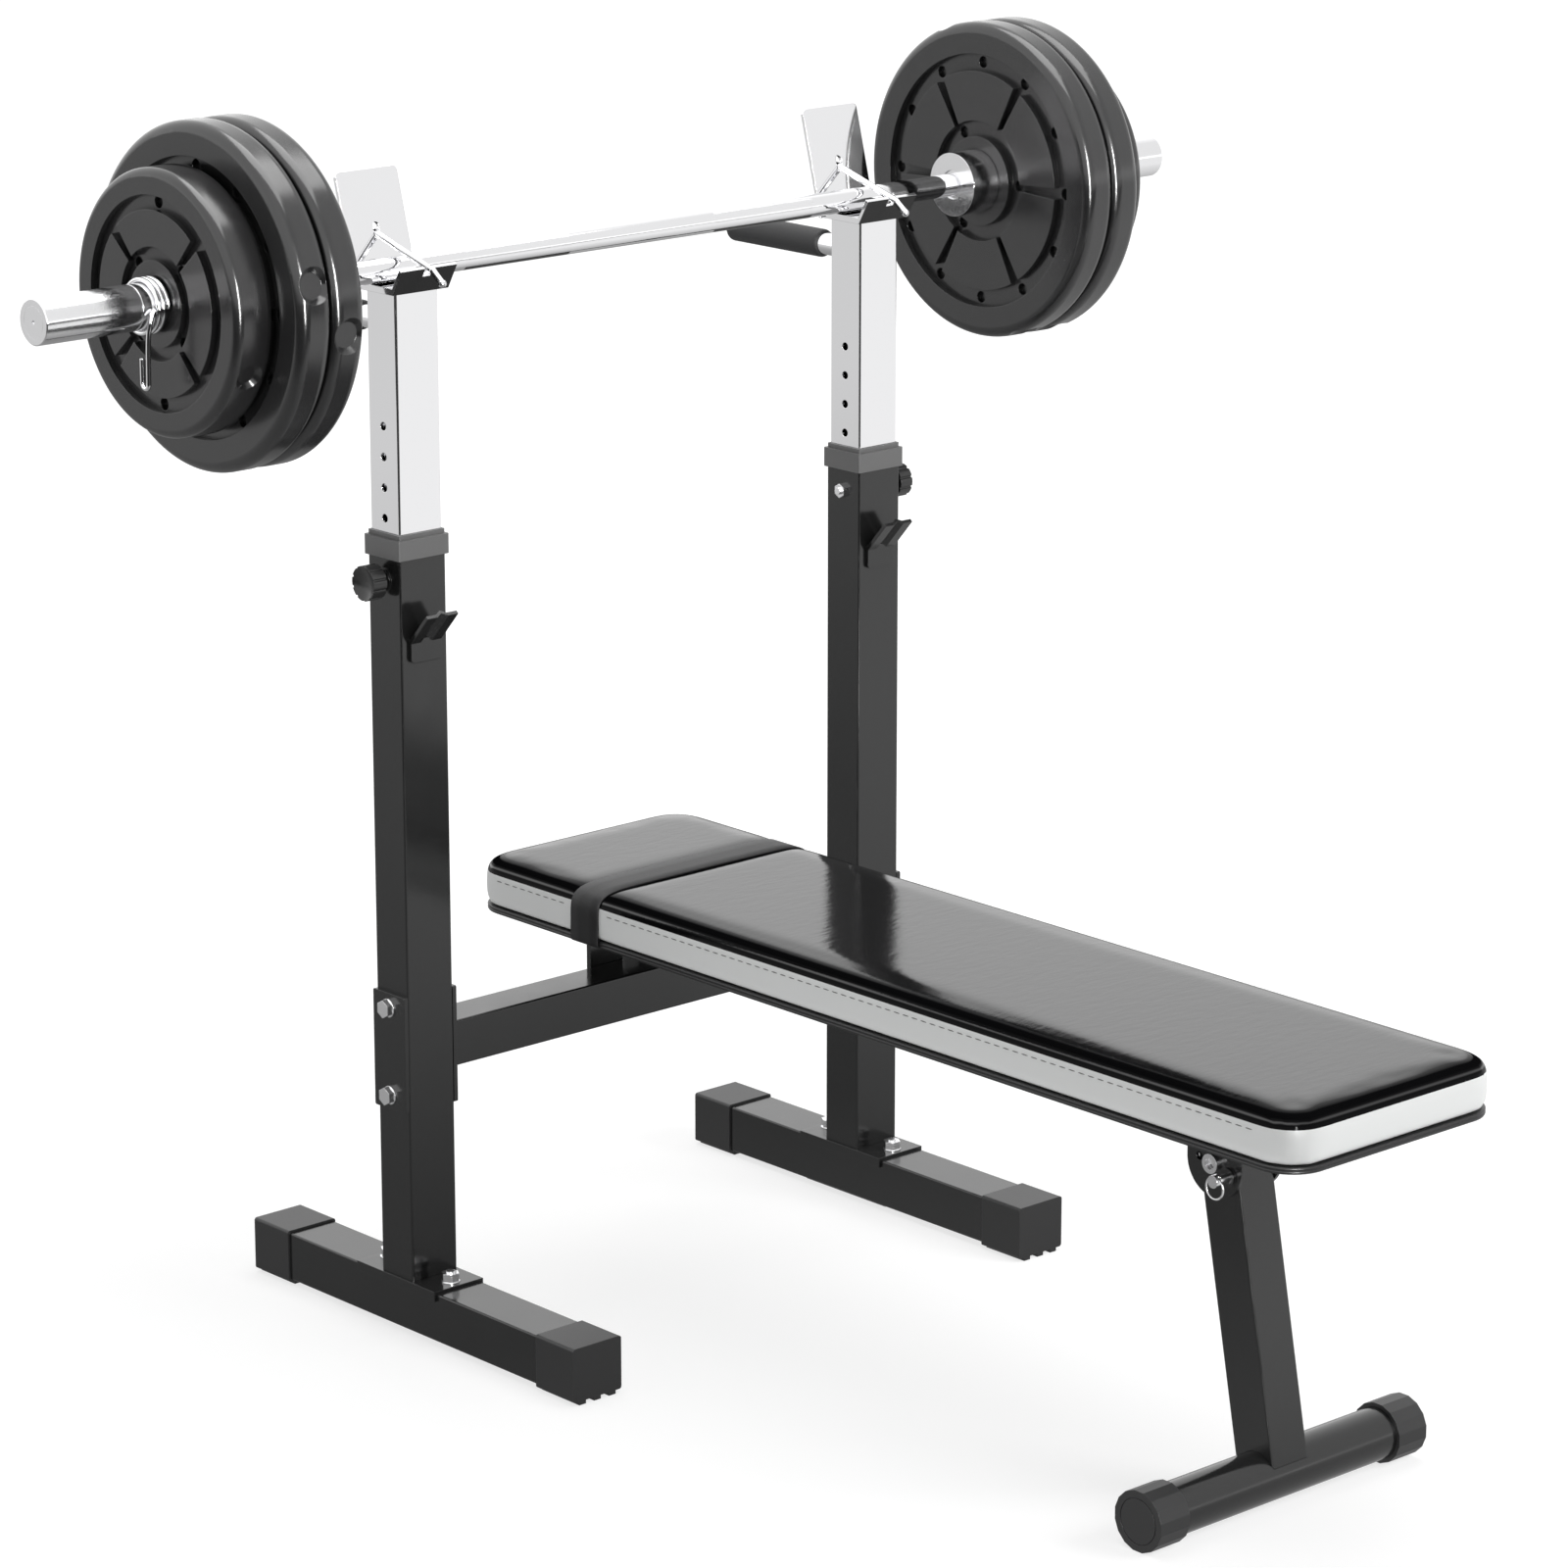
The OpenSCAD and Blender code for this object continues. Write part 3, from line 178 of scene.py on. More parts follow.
def uneven_gloss(tree, surface, cells, smoothest, roughest):
    """Lets the roughness wander between two values, over that many cells to the metre."""
    wander = noise(tree, piece_coords(tree), cells)
    tree.links.new(spread(tree, wander, 0.3, 0.7, smoothest, roughest), surface.inputs["Roughness"])


def eased_edges(tree, radius):
    """Normals that turn over a small radius at each edge."""
    node = tree.nodes.new("ShaderNodeBevel")
    node.samples = 6
    node.inputs["Radius"].default_value = radius
    return node.outputs["Normal"]


def relief(tree, surface, height, depth, edge=0.0):
    """Raises the surface by a height field of that depth in metres, over edges eased by a small radius."""
    bump = tree.nodes.new("ShaderNodeBump")
    bump.inputs["Strength"].default_value = 1.0
    bump.inputs["Distance"].default_value = depth
    tree.links.new(height, bump.inputs["Height"])
    if edge:
        tree.links.new(eased_edges(tree, edge), bump.inputs["Normal"])
    tree.links.new(bump.outputs["Normal"], surface.inputs["Normal"])


# Finishes

def paint_finish():
    """Black powder coat: glossy with a faint orange-peel skin."""
    finish, tree, surface = new_finish("black_paint", PAINT_BLACK, 0.17)
    surface.inputs["Specular IOR Level"].default_value = 0.65
    uneven_gloss(tree, surface, 18, 0.13, 0.2)
    relief(tree, surface, noise(tree, piece_coords(tree), 900), 0.02 * MM, edge=0.8 * MM)
    return finish


def plastic_finish(name, colour, roughness):
    """Moulded plastic with a fine even grain."""
    finish, tree, surface = new_finish(name, colour, roughness)
    relief(tree, surface, noise(tree, piece_coords(tree), 1500), 0.04 * MM, edge=0.7 * MM)
    return finish


def metal_finish(name, colour, roughness, edge=0.5 * MM):
    """Bright metal, with a roughness that wanders a little."""
    finish, tree, surface = new_finish(name, colour, roughness, metallic=1.0)
    uneven_gloss(tree, surface, 25, 0.8 * roughness, 1.2 * roughness)
    tree.links.new(eased_edges(tree, edge), surface.inputs["Normal"])
    return finish


def chrome_finish(name):
    """Mirror chrome with slightly eased edges."""
    return metal_finish(name, CHROME_WHITE, 0.035, edge=0.7 * MM)


def cradle_finish():
    """Chrome that turns black and loses its metal on every face that points down, its underside and the outer
    face of its lip: a painted dark reflection.
    """
    finish = chrome_finish("cradle_chrome")
    tree = finish.node_tree
    surface = tree.nodes["Principled BSDF"]
    # painted dark reflection: faces that point down turn black, not metal, with a weak sheen
    painted_dark_below = spread(tree, facing_up(tree), -0.4, -0.2, 1, 0)
    tree.links.new(mixed_colour(tree, painted_dark_below, CHROME_WHITE, CRADLE_PAINTED_DARK), surface.inputs["Base Color"])
    tree.links.new(math_node(tree, "SUBTRACT", 1.0, painted_dark_below), surface.inputs["Metallic"])
    surface.inputs["Specular IOR Level"].default_value = 0.25
    return finish


def sleeve_finish():
    """Turned chrome: fine lines round the sleeve."""
    finish, tree, surface = new_finish("sleeve_chrome", SLEEVE_WHITE, 0.13, metallic=1.0)
    lines = noise(tree, piece_coords(tree, scale=(1, 0.01, 0.01)), 2500)
    speckle = noise(tree, piece_coords(tree), 700)
    tree.links.new(spread(tree, speckle, 0.35, 0.65, 0.08, 0.2), surface.inputs["Roughness"])
    relief(tree, surface, lines, 0.01 * MM, edge=0.5 * MM)
    return finish


def shaft_finish(grip_from, grip_to):
    """Chrome shaft; between two distances from its middle it has a cross-cut grip whose downward faces are
    darkened by painted shade.
    """
    finish, tree, surface = new_finish("shaft_chrome", SHAFT_WHITE, 0.06, metallic=1.0)
    reach = math_node(tree, "ABSOLUTE", part_of(tree, piece_coords(tree), "X"))
    past_start = math_node(tree, "GREATER_THAN", reach, grip_from)
    before_end = math_node(tree, "LESS_THAN", reach, grip_to)
    grip = math_node(tree, "MULTIPLY", past_start, before_end)
    cuts = []
    for lean in (1, -1):
        wave = tree.nodes.new("ShaderNodeTexWave")
        wave.inputs["Scale"].default_value = 220
        tree.links.new(piece_coords(tree, turn=(0, 0, lean * math.radians(30))), wave.inputs["Vector"])
        cuts.append(wave.outputs["Fac"])
    crossed = math_node(tree, "MULTIPLY", cuts[0], cuts[1])
    tree.links.new(spread(tree, grip, 0, 1, 0.05, 0.16), surface.inputs["Roughness"])
    # painted shade: the grip's downward faces turn dark
    underside = spread(tree, facing_up(tree), -0.64, -0.58, 1, 0)
    painted_underside_shade = math_node(tree, "MULTIPLY", grip, underside)
    tree.links.new(mixed_colour(tree, painted_underside_shade, SHAFT_WHITE, SHAFT_PAINTED_SHADE), surface.inputs["Base Color"])
    relief(tree, surface, math_node(tree, "MULTIPLY", crossed, grip), 0.04 * MM)
    return finish


def rubber_finish():
    """Black moulded rubber with a satin skin, and painted shade that turns it dead black in its narrow
    hollows.
    """
    finish, tree, surface = new_finish("plate_rubber", RUBBER_BLACK, 0.18)
    uneven_gloss(tree, surface, 30, 0.15, 0.22)
    # painted shade: ambient occlusion darkens the colour and the sheen in narrow hollows
    painted_hollow_shade = tree.nodes.new("ShaderNodeAmbientOcclusion")
    painted_hollow_shade.samples = 8
    painted_hollow_shade.inputs["Distance"].default_value = 10 * MM
    open_to_light = spread(tree, painted_hollow_shade.outputs["AO"], 0.3, 0.7, 0, 1)
    colour = mixed_colour(tree, open_to_light, RUBBER_PAINTED_SHADE, RUBBER_BLACK)
    tree.links.new(colour, surface.inputs["Base Color"])
    tree.links.new(math_node(tree, "MULTIPLY", open_to_light, 0.72), surface.inputs["Specular IOR Level"])
    relief(tree, surface, noise(tree, piece_coords(tree), 1200), 0.02 * MM, edge=0.7 * MM)
    return finish


def foam_finish():
    """Matt black foam with fine cells."""
    finish, tree, surface = new_finish("foam", FOAM_BLACK, 0.6)
    cells = tree.nodes.new("ShaderNodeTexVoronoi")
    cells.inputs["Scale"].default_value = 900
    tree.links.new(piece_coords(tree), cells.inputs["Vector"])
    relief(tree, surface, cells.outputs["Distance"], 0.2 * MM)
    return finish


# Painted reflection: gloss of the black cover by how far it faces up, a painted highlight line on the roll of
# the edge, and a satin top
COVER_PAINTED_GLOSS = (
    (0.0, 0.08), (0.5, 0.03), (0.6, 0.8), (0.7, 0.03), (0.8, 0.0),
    (0.95, 0.0), (0.985, 0.06), (0.996, 0.36), (0.999, 0.5), (1.0, 0.5),
)


def cover_finish(band_top):
    """Cover of the pad: light band up to a height, black grained leathercloth above it."""
    cover_roughness, band_roughness, band_gloss = 0.1, 0.42, 0.4
    finish, tree, surface = new_finish("pad_cover", COVER_BLACK, cover_roughness)
    coords = piece_coords(tree)
    black = math_node(tree, "GREATER_THAN", part_of(tree, coords, "Z"), band_top)
    band = math_node(tree, "SUBTRACT", 1.0, black)
    tree.links.new(mixed_colour(tree, black, BAND_GREY, COVER_BLACK), surface.inputs["Base Color"])
    tree.links.new(spread(tree, black, 0, 1, band_roughness, cover_roughness), surface.inputs["Roughness"])
    # painted reflection: the black cover's gloss follows its slope
    painted_gloss_above = math_node(tree, "MULTIPLY", black, line_through(tree, facing_up(tree), COVER_PAINTED_GLOSS))
    gloss_below = math_node(tree, "MULTIPLY", band, band_gloss)
    tree.links.new(math_node(tree, "ADD", painted_gloss_above, gloss_below), surface.inputs["Specular IOR Level"])
    wrinkles = noise(tree, piece_coords(tree, scale=(0.35, 1.0, 1.0)), 130, detail=4.0)
    grain = noise(tree, coords, 900, detail=3.0)
    coarse = math_node(tree, "MULTIPLY", wrinkles, 0.8)
    fine = math_node(tree, "MULTIPLY", grain, 0.15)
    relief(tree, surface, math_node(tree, "ADD", coarse, fine), 0.2 * MM)
    return finish


def webbing_finish():
    """Black webbing, ribbed across the strap."""
    finish, tree, surface = new_finish("strap", WEBBING_BLACK, 0.45)
    surface.inputs["Specular IOR Level"].default_value = 0.3
    rib = tree.nodes.new("ShaderNodeTexWave")
    rib.bands_direction = "Y"
    rib.inputs["Scale"].default_value = 180
    tree.links.new(piece_coords(tree), rib.inputs["Vector"])
    relief(tree, surface, rib.outputs["Fac"], 0.15 * MM)
    return finish


# Shapes

def piece(name, points, faces, finish, smooth=True):
    """A mesh at the origin whose place is in its points."""
    mesh = bpy.data.meshes.new(name)
    mesh.from_pydata(np.asarray(points, float).tolist(), [], faces)
    mesh.polygons.foreach_set("use_smooth", np.full(len(mesh.polygons), smooth))
    mesh.materials.append(finish)
    made = bpy.data.objects.new(name, mesh)
    scene.collection.objects.link(made)
    return made


def strip_faces(rings, sides, joined=False):
    """Quads between neighbouring rings; with joined, the last ring meets the first."""
    count = rings if joined else rings - 1
    i, j = np.meshgrid(np.arange(count), np.arange(sides), indexing="ij")
    here, after = i * sides, (i + 1) % rings * sides
    beside = (j + 1) % sides
    return np.stack([here + j, here + beside, after + beside, after + j], -1).reshape(-1, 4).tolist()


def end_fans(rings, sides, first_pole, last_pole):
    """Triangles that close the first and the last ring on a pole each."""
    j = np.arange(sides)
    beside = (j + 1) % sides
    last = (rings - 1) * sides
    first_fan = np.stack([np.full(sides, first_pole), beside, j], -1)
    last_fan = np.stack([np.full(sides, last_pole), last + j, last + beside], -1)
    return first_fan.tolist() + last_fan.tolist()


def closed_faces(rings, sides):
    """Faces of a tube of rings whose two ends close on the two points that follow the rings."""
    first_pole = rings * sides
    return strip_faces(rings, sides) + end_fans(rings, sides, first_pole, first_pole + 1)


def unit_rows(vectors):
    """Each row of an array scaled to length 1."""
    return vectors / np.linalg.norm(vectors, axis=1, keepdims=True)


def wire(name, path, radius, finish, sides=14, lead=(1, 0, 0), joined=False):
    """A circle carried along a path: each ring lies across the path and starts at a lead direction."""
    path, lead = np.asarray(path, float), np.asarray(lead, float)
    if joined:
        ahead = unit_rows(np.roll(path, -1, 0) - np.roll(path, 1, 0))
    else:
        ahead = unit_rows(np.gradient(path, axis=0))
    across = unit_rows(lead - (ahead @ lead)[:, None] * ahead)
    other = np.cross(ahead, across)
    turn = np.linspace(0, 2 * np.pi, sides, endpoint=False)
    spokes = np.cos(turn)[None, :, None] * across[:, None] + np.sin(turn)[None, :, None] * other[:, None]
    points = (path[:, None] + radius * spokes).reshape(-1, 3)
    if joined:
        return piece(name, points, strip_faces(len(path), sides, joined=True), finish)
    poles = path[[0, -1]] + radius * 0.4 * np.array([-ahead[0], ahead[-1]])
    return piece(name, np.vstack([points, poles]), closed_faces(len(path), sides), finish)


def eased_path(corners, rounds=3):
    """Cuts the corners of a path again and again, which rounds it off and keeps its two ends."""
    path = np.asarray(corners, float)
    for _ in range(rounds):
        near = 0.75 * path[:-1] + 0.25 * path[1:]
        far = 0.25 * path[:-1] + 0.75 * path[1:]
        path = np.vstack([path[:1], np.stack([near, far], 1).reshape(-1, 3), path[-1:]])
    return path


# Pad

board_low, board_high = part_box("pad_board")
_, cushion_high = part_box("pad_cushion")
strap_low, strap_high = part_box("pad_strap")

PAD_HALF_W = board_high.x
PAD_MID_Y = (board_low.y + board_high.y) / 2
PAD_HALF_L = (board_high.y - board_low.y) / 2
PAD_CORNER = 40 * MM
LEAST_CORNER = 4 * MM
BOARD_BASE = board_low.z
BOARD_TOP = board_high.z
PAD_TOP = cushion_high.z
BAND_TOP = BOARD_TOP + 37 * MM

# The pad before it is blown up
FOOT_GAP = 0.3 * MM
FOOT_IN = 3 * MM
SIDE_IN = 1.2 * MM
SHOULDER_DROP = 2 * MM
ROLL_R = 9 * MM
MESH_STEP = 6 * MM

# How far the cover rises
PUFF = 6.5 * MM
SIDE_SHARE = 0.6
LEAST_RISE = 0.8
STRAP_PINCH = 0.45
PINCH_FADE = 4 * MM
KNEE = 4
HELD_BELOW = BOARD_TOP + 4 * MM
STILL_BELOW = BOARD_TOP + 2 * MM
CLOTH_FRAMES = 20
EDGE_FALL_W = 26 * MM
EDGE_FALL_DEPTH = 2.2 * MM

STRAP_MID_Y = (strap_low.y + strap_high.y) / 2
STRAP_W = strap_high.y - strap_low.y
STRAP_T = 2 * MM
STRAP_GAP = 0.4 * MM + STRAP_T / 2

BEAD_R = 1.7 * MM
BEAD_IN = 1.0 * MM
BEAD_HEIGHTS = {"lower_edge_bead": 1.7 * MM, "upper_edge_bead": 5.0 * MM}


def pad_outline(inset, corner_steps=16, side_steps=40):
    """Outline of the pad from above, drawn in by an inset: four straight sides joined by quarter circles."""
    r = max(PAD_CORNER - inset, LEAST_CORNER)
    half_w, half_l = PAD_HALF_W - inset - r, PAD_HALF_L - inset - r
    quarter = np.linspace(0, np.pi / 2, corner_steps)
    corners = []
    for k, (sx, sy) in enumerate(((1, 1), (-1, 1), (-1, -1), (1, -1))):
        turn = quarter + k * np.pi / 2
        corners.append(np.stack([sx * half_w + r * np.cos(turn), sy * half_l + r * np.sin(turn)], 1))
    share = np.linspace(0, 1, side_steps + 2)[1:-1, None]
    parts = []
    for corner, following in zip(corners, corners[1:] + corners[:1]):
        parts += [corner, corner[-1] * (1 - share) + following[0] * share]
    outline = np.vstack(parts)
    outline[:, 1] += PAD_MID_Y
    return outline


def outline_at(inset, height):
    """The outline of the pad, drawn in by an inset and lifted to a height."""
    outline = pad_outline(inset)
    return np.column_stack([outline, np.full(len(outline), height)])


def pad_start(finish):
    """The pad before it is blown up: its outline, drawn in and lifted along a side, a roll and a flat top."""
    foot, shoulder = BOARD_TOP + FOOT_GAP, PAD_TOP - SHOULDER_DROP
    turn = np.radians(np.linspace(0, 90, 6))
    base = [(inset, foot) for inset in (110 * MM, 60 * MM, FOOT_IN)]
    side = [(SIDE_IN, foot + rise) for rise in (2 * MM, 12 * MM, 24 * MM)]
    roll = zip(SIDE_IN + ROLL_R * (1 - np.cos(turn)), shoulder - ROLL_R + ROLL_R * np.sin(turn))
    top = [(inset, shoulder) for inset in (30 * MM, 60 * MM, 90 * MM, 120 * MM)]
    rings = [outline_at(inset, height) for inset, height in (*base, *side, *roll, *top)]
    poles = np.array([[0, PAD_MID_Y, foot], [0, PAD_MID_Y, shoulder]])
    return piece("pad_cover", np.vstack(rings + [poles]), closed_faces(len(rings), len(rings[0])), finish)


def mesh_points(mesh):
    """All points of a mesh as one array."""
    flat = np.empty(len(mesh.vertices) * 3)
    mesh.vertices.foreach_get("co", flat)
    return flat.reshape(-1, 3)


def mesh_normals(mesh):
    """The outward directions at all points of a mesh as one array."""
    flat = np.empty(len(mesh.vertices) * 3)
    mesh.vertices.foreach_get("normal", flat)
    return flat.reshape(-1, 3)


def under_strap(y):
    """1 under the strap, falling softly to 0 beside it."""
    away = np.abs(y - STRAP_MID_Y) - STRAP_W / 2
    return 1 / (1 + np.exp(away / PINCH_FADE))


def inside_by(points):
    """How far each point lies inside the pad's outline, seen from above."""
    past_w = np.abs(points[:, 0]) - (PAD_HALF_W - PAD_CORNER)
    past_l = np.abs(points[:, 1] - PAD_MID_Y) - (PAD_HALF_L - PAD_CORNER)
    corner = np.hypot(np.maximum(past_w, 0), np.maximum(past_l, 0))
    return PAD_CORNER - corner - np.minimum(np.maximum(past_w, past_l), 0)


def edge_fall(points):
    """How far the top falls towards its edge: a parabola of the distance in from the outline."""
    near = np.clip(1 - inside_by(points) / EDGE_FALL_W, 0, 1)
    above_band = np.clip((points[:, 2] - BAND_TOP) / (PAD_TOP - BAND_TOP), 0, 1)
    return EDGE_FALL_DEPTH * near ** 2 * above_band


def cloth_rise(pad, start, outward):
    """How far each point rises outwards when the sealed cover is put under pressure, held at its foot."""
    held = pad.vertex_groups.new(name="held")
    held.add(np.flatnonzero(start[:, 2] < HELD_BELOW).tolist(), 1.0, "REPLACE")
    cloth = pad.modifiers.new("cover", "CLOTH")
    cloth.settings.vertex_group_mass = "held"
    cloth.settings.use_pressure = True
    cloth.settings.uniform_pressure_force = 4
    cloth.settings.effector_weights.gravity = 0
    cloth.settings.tension_stiffness = 25
    cloth.settings.bending_stiffness = 2
    for number in range(1, CLOTH_FRAMES + 1):
        scene.frame_set(number)
    blown = pad.evaluated_get(bpy.context.evaluated_depsgraph_get())
    rise = ((mesh_points(blown.data) - start) * outward).sum(1)
    pad.modifiers.remove(cloth)
    pad.vertex_groups.remove(held)
    scene.frame_set(1)
    return rise


def blow_up(pad):
    """Fills the pad: each point rises outwards as the cloth does, from a least rise up to a soft limit."""
    bpy.context.view_layer.objects.active = pad
    remesh = pad.modifiers.new("even_mesh", "REMESH")
    remesh.mode = "VOXEL"
    remesh.voxel_size = MESH_STEP
    bpy.ops.object.modifier_apply(modifier=remesh.name)
    start, outward = mesh_points(pad.data), mesh_normals(pad.data)
    limit = PUFF * (1 - STRAP_PINCH * under_strap(start[:, 1]))
    rise = cloth_rise(pad, start, outward)
    share = np.clip(rise / limit, LEAST_RISE, None)
    moved = outward * (limit * (1 + share ** -KNEE) ** (-1 / KNEE))[:, None]
    moved[start[:, 2] < STILL_BELOW] = 0
    moved[:, :2] *= SIDE_SHARE
    filled = start + moved
    filled[:, 2] -= edge_fall(filled)
    pad.data.vertices.foreach_set("co", filled.ravel())
    pad.data.polygons.foreach_set("use_smooth", np.ones(len(pad.data.polygons), bool))
    even = pad.modifiers.new("even_out", "SMOOTH")
    even.factor, even.iterations = 0.5, 8
    smooth = pad.modifiers.new("smooth", "SUBSURF")
    smooth.levels = smooth.render_levels = 1
    pad.data.update()


def edge_beads(finish):
    """Two round beads, one above the other, carried round the pad's outline at the board's edge."""
    for name, height in BEAD_HEIGHTS.items():
        path = outline_at(BEAD_IN, BOARD_BASE + height)
        bead = wire(name, path, BEAD_R, finish, sides=12, lead=(0, 0, 1), joined=True)
        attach(bead, "bench")


def on_pad(tree, start, toward):
    """Where a line from outside meets the pad."""
    hit = tree.ray_cast(Vector(start), Vector(toward).normalized())[0]
    return np.array(hit if hit is not None else start)


def stitch(length, thick, sides=8):
    """One thread: a ball stretched along the pad, as points and as two sets of faces."""
    turn = np.linspace(0, 2 * np.pi, sides, endpoint=False)
    lift = np.radians(np.array([-60, -20, 20, 60]))
    rings = np.stack([
        thick * np.cos(lift)[:, None] * np.cos(turn),
        np.repeat(length / 2 * np.sin(lift)[:, None] / np.sin(lift[-1]), sides, 1),
        thick * np.cos(lift)[:, None] * np.sin(turn),
    ], -1).reshape(-1, 3)
    end = length / 2 + thick / 2
    points = np.vstack([rings, [[0, -end, 0], [0, end, 0]]])
    quads = np.array(strip_faces(len(lift), sides))
    fans = np.array(end_fans(len(lift), sides, len(rings), len(rings) + 1))
    return points, quads[:, ::-1], fans[:, ::-1]


def stitch_row(tree, finish):
    """Short round-ended threads along the band of both long sides, each laid on the cover."""
    length, thick, pitch = 8 * MM, 0.6 * MM, 13 * MM
    below_seam, front_margin, outside = 6 * MM, 15 * MM, 0.3
    height = BAND_TOP - below_seam
    places = np.arange(board_low.y + PAD_CORNER + front_margin, board_high.y - PAD_CORNER, pitch)
    places = places[np.abs(places - STRAP_MID_Y) > STRAP_W / 2 + length]
    middles = [on_pad(tree, (side * outside, y, height), (-side, 0, 0)) for side in (-1, 1) for y in places]
    one, quads, fans = stitch(length, thick)
    shift = (np.arange(len(middles)) * len(one))[:, None, None]
    points = (np.array(middles)[:, None] + one[None]).reshape(-1, 3)
    faces = (quads[None] + shift).reshape(-1, 4).tolist() + (fans[None] + shift).reshape(-1, 3).tolist()
    thread = piece("band_stitches", points, faces, finish)
    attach(thread, "bench")


def strap_over(tree):
    """Line of the strap over the pad: points in a fan of directions, each just off the cover, smoothed."""
    fan_inset, outside, smoothing_rounds = 30 * MM, 0.2, 6
    turns = np.radians(np.linspace(-8, 188, 99))
    mid_z = (BOARD_TOP + PAD_TOP) / 2
    ways = np.stack([np.cos(turns), np.zeros(len(turns)), np.sin(turns)], 1)
    centres = np.array([0, STRAP_MID_Y, mid_z]) + ways * np.array([PAD_HALF_W - fan_inset, 0, 0])
    across_strap = np.linspace(-STRAP_W / 2, STRAP_W / 2, 5)
    spots = []
    for centre, way in zip(centres, ways):
        starts = [centre + way * outside + np.array([0, shift, 0]) for shift in across_strap]
        reach = max(float((on_pad(tree, start, -way) - centre) @ way) for start in starts)
        spots.append(centre + way * (reach + STRAP_GAP))
    over = np.array(spots)
    for _ in range(smoothing_rounds):
        over[1:-1] = 0.25 * over[:-2] + 0.5 * over[1:-1] + 0.25 * over[2:]
    return over


def strap_path(tree):
    """Line of the strap across the pad: in under the board, up each side and over the top."""
    end_x, turn_in, beside_beads = 70 * MM, 6 * MM, 1.4 * MM
    under_z = BOARD_BASE - STRAP_GAP
    edge_x = PAD_HALF_W + beside_beads + STRAP_GAP
    right = np.array([
        [end_x, STRAP_MID_Y, under_z],
        [edge_x - turn_in, STRAP_MID_Y, under_z],
        [edge_x, STRAP_MID_Y, BOARD_BASE + 2 * MM],
        [edge_x, STRAP_MID_Y, BOARD_TOP - 2 * MM],
    ])
    left = right[::-1] * np.array([-1, 1, 1])
    return eased_path(np.vstack([right, strap_over(tree), left]), rounds=2)


def pad_strap(tree, finish):
    """Flat webbing: a thin rectangle with cut corners carried along its line over the pad."""
    path = strap_path(tree)
    outward = np.cross(np.array([0.0, 1.0, 0.0]), unit_rows(np.gradient(path, axis=0)))
    half_w, half_t = STRAP_W / 2, STRAP_T / 2
    corner, third = 0.35 * half_t, 0.33 * half_w
    upper = [
        (half_w, -corner), (half_w, corner), (half_w - corner, half_t),
        (third, half_t), (-third, half_t), (-half_w + corner, half_t),
    ]
    section = np.array(upper + [(-across, -up) for across, up in upper])
    rings = path[:, None] + section[None, :, 1, None] * outward[:, None]
    rings[:, :, 1] += section[None, :, 0]
    points = np.vstack([rings.reshape(-1, 3), path[[0, -1]]])
    strap = piece("strap_webbing", points, closed_faces(len(path), len(section)), finish)
    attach(strap, "bench")
    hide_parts("pad_strap")


def make_pad():
    """Cover, edge beads, stitches and strap of the pad."""
    cover = pad_start(cover_finish(BAND_TOP))
    blow_up(cover)
    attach(cover, "bench")
    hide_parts("pad_cushion")
    tree = BVHTree.FromObject(cover, bpy.context.evaluated_depsgraph_get())
    edge_beads(board)
    stitch_row(tree, new_finish("thread", THREAD_GREY, 0.6)[0])
    pad_strap(tree, webbing_finish())


# Other soft or wound pieces

def make_grip(side, finish):
    """Foam sleeve: a rounded profile turned round the handle, closed at its far end."""
    low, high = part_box(f"{side}_grip")
    mid_x, mid_z = (low.x + high.x) / 2, (low.z + high.z) / 2
    outer, inner, edge, sides = (high.x - low.x) / 2, 12.1 * MM, 5 * MM, 48
    bend = np.radians(np.linspace(0, 90, 7))
    radius = np.concatenate([[inner], outer - edge + edge * np.sin(bend), outer - edge + edge * np.cos(bend)])
    place = np.concatenate([[low.y], low.y + edge - edge * np.cos(bend), high.y - edge + edge * np.sin(bend)])
    turn = np.linspace(0, 2 * np.pi, sides, endpoint=False)
    rings = np.stack([
        mid_x + radius[:, None] * np.cos(turn),
        np.repeat(place[:, None], sides, 1),
        mid_z + radius[:, None] * np.sin(turn),
    ], -1).reshape(-1, 3)
    poles = np.array([[mid_x, low.y + 1 * MM, mid_z], [mid_x, high.y, mid_z]])
    faces = [face[::-1] for face in closed_faces(len(radius), sides)]
    grip = piece(f"{side}_foam_grip", np.vstack([rings, poles]), faces, finish)
    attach(grip, f"{side}_riser")
    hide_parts(f"{side}_grip")


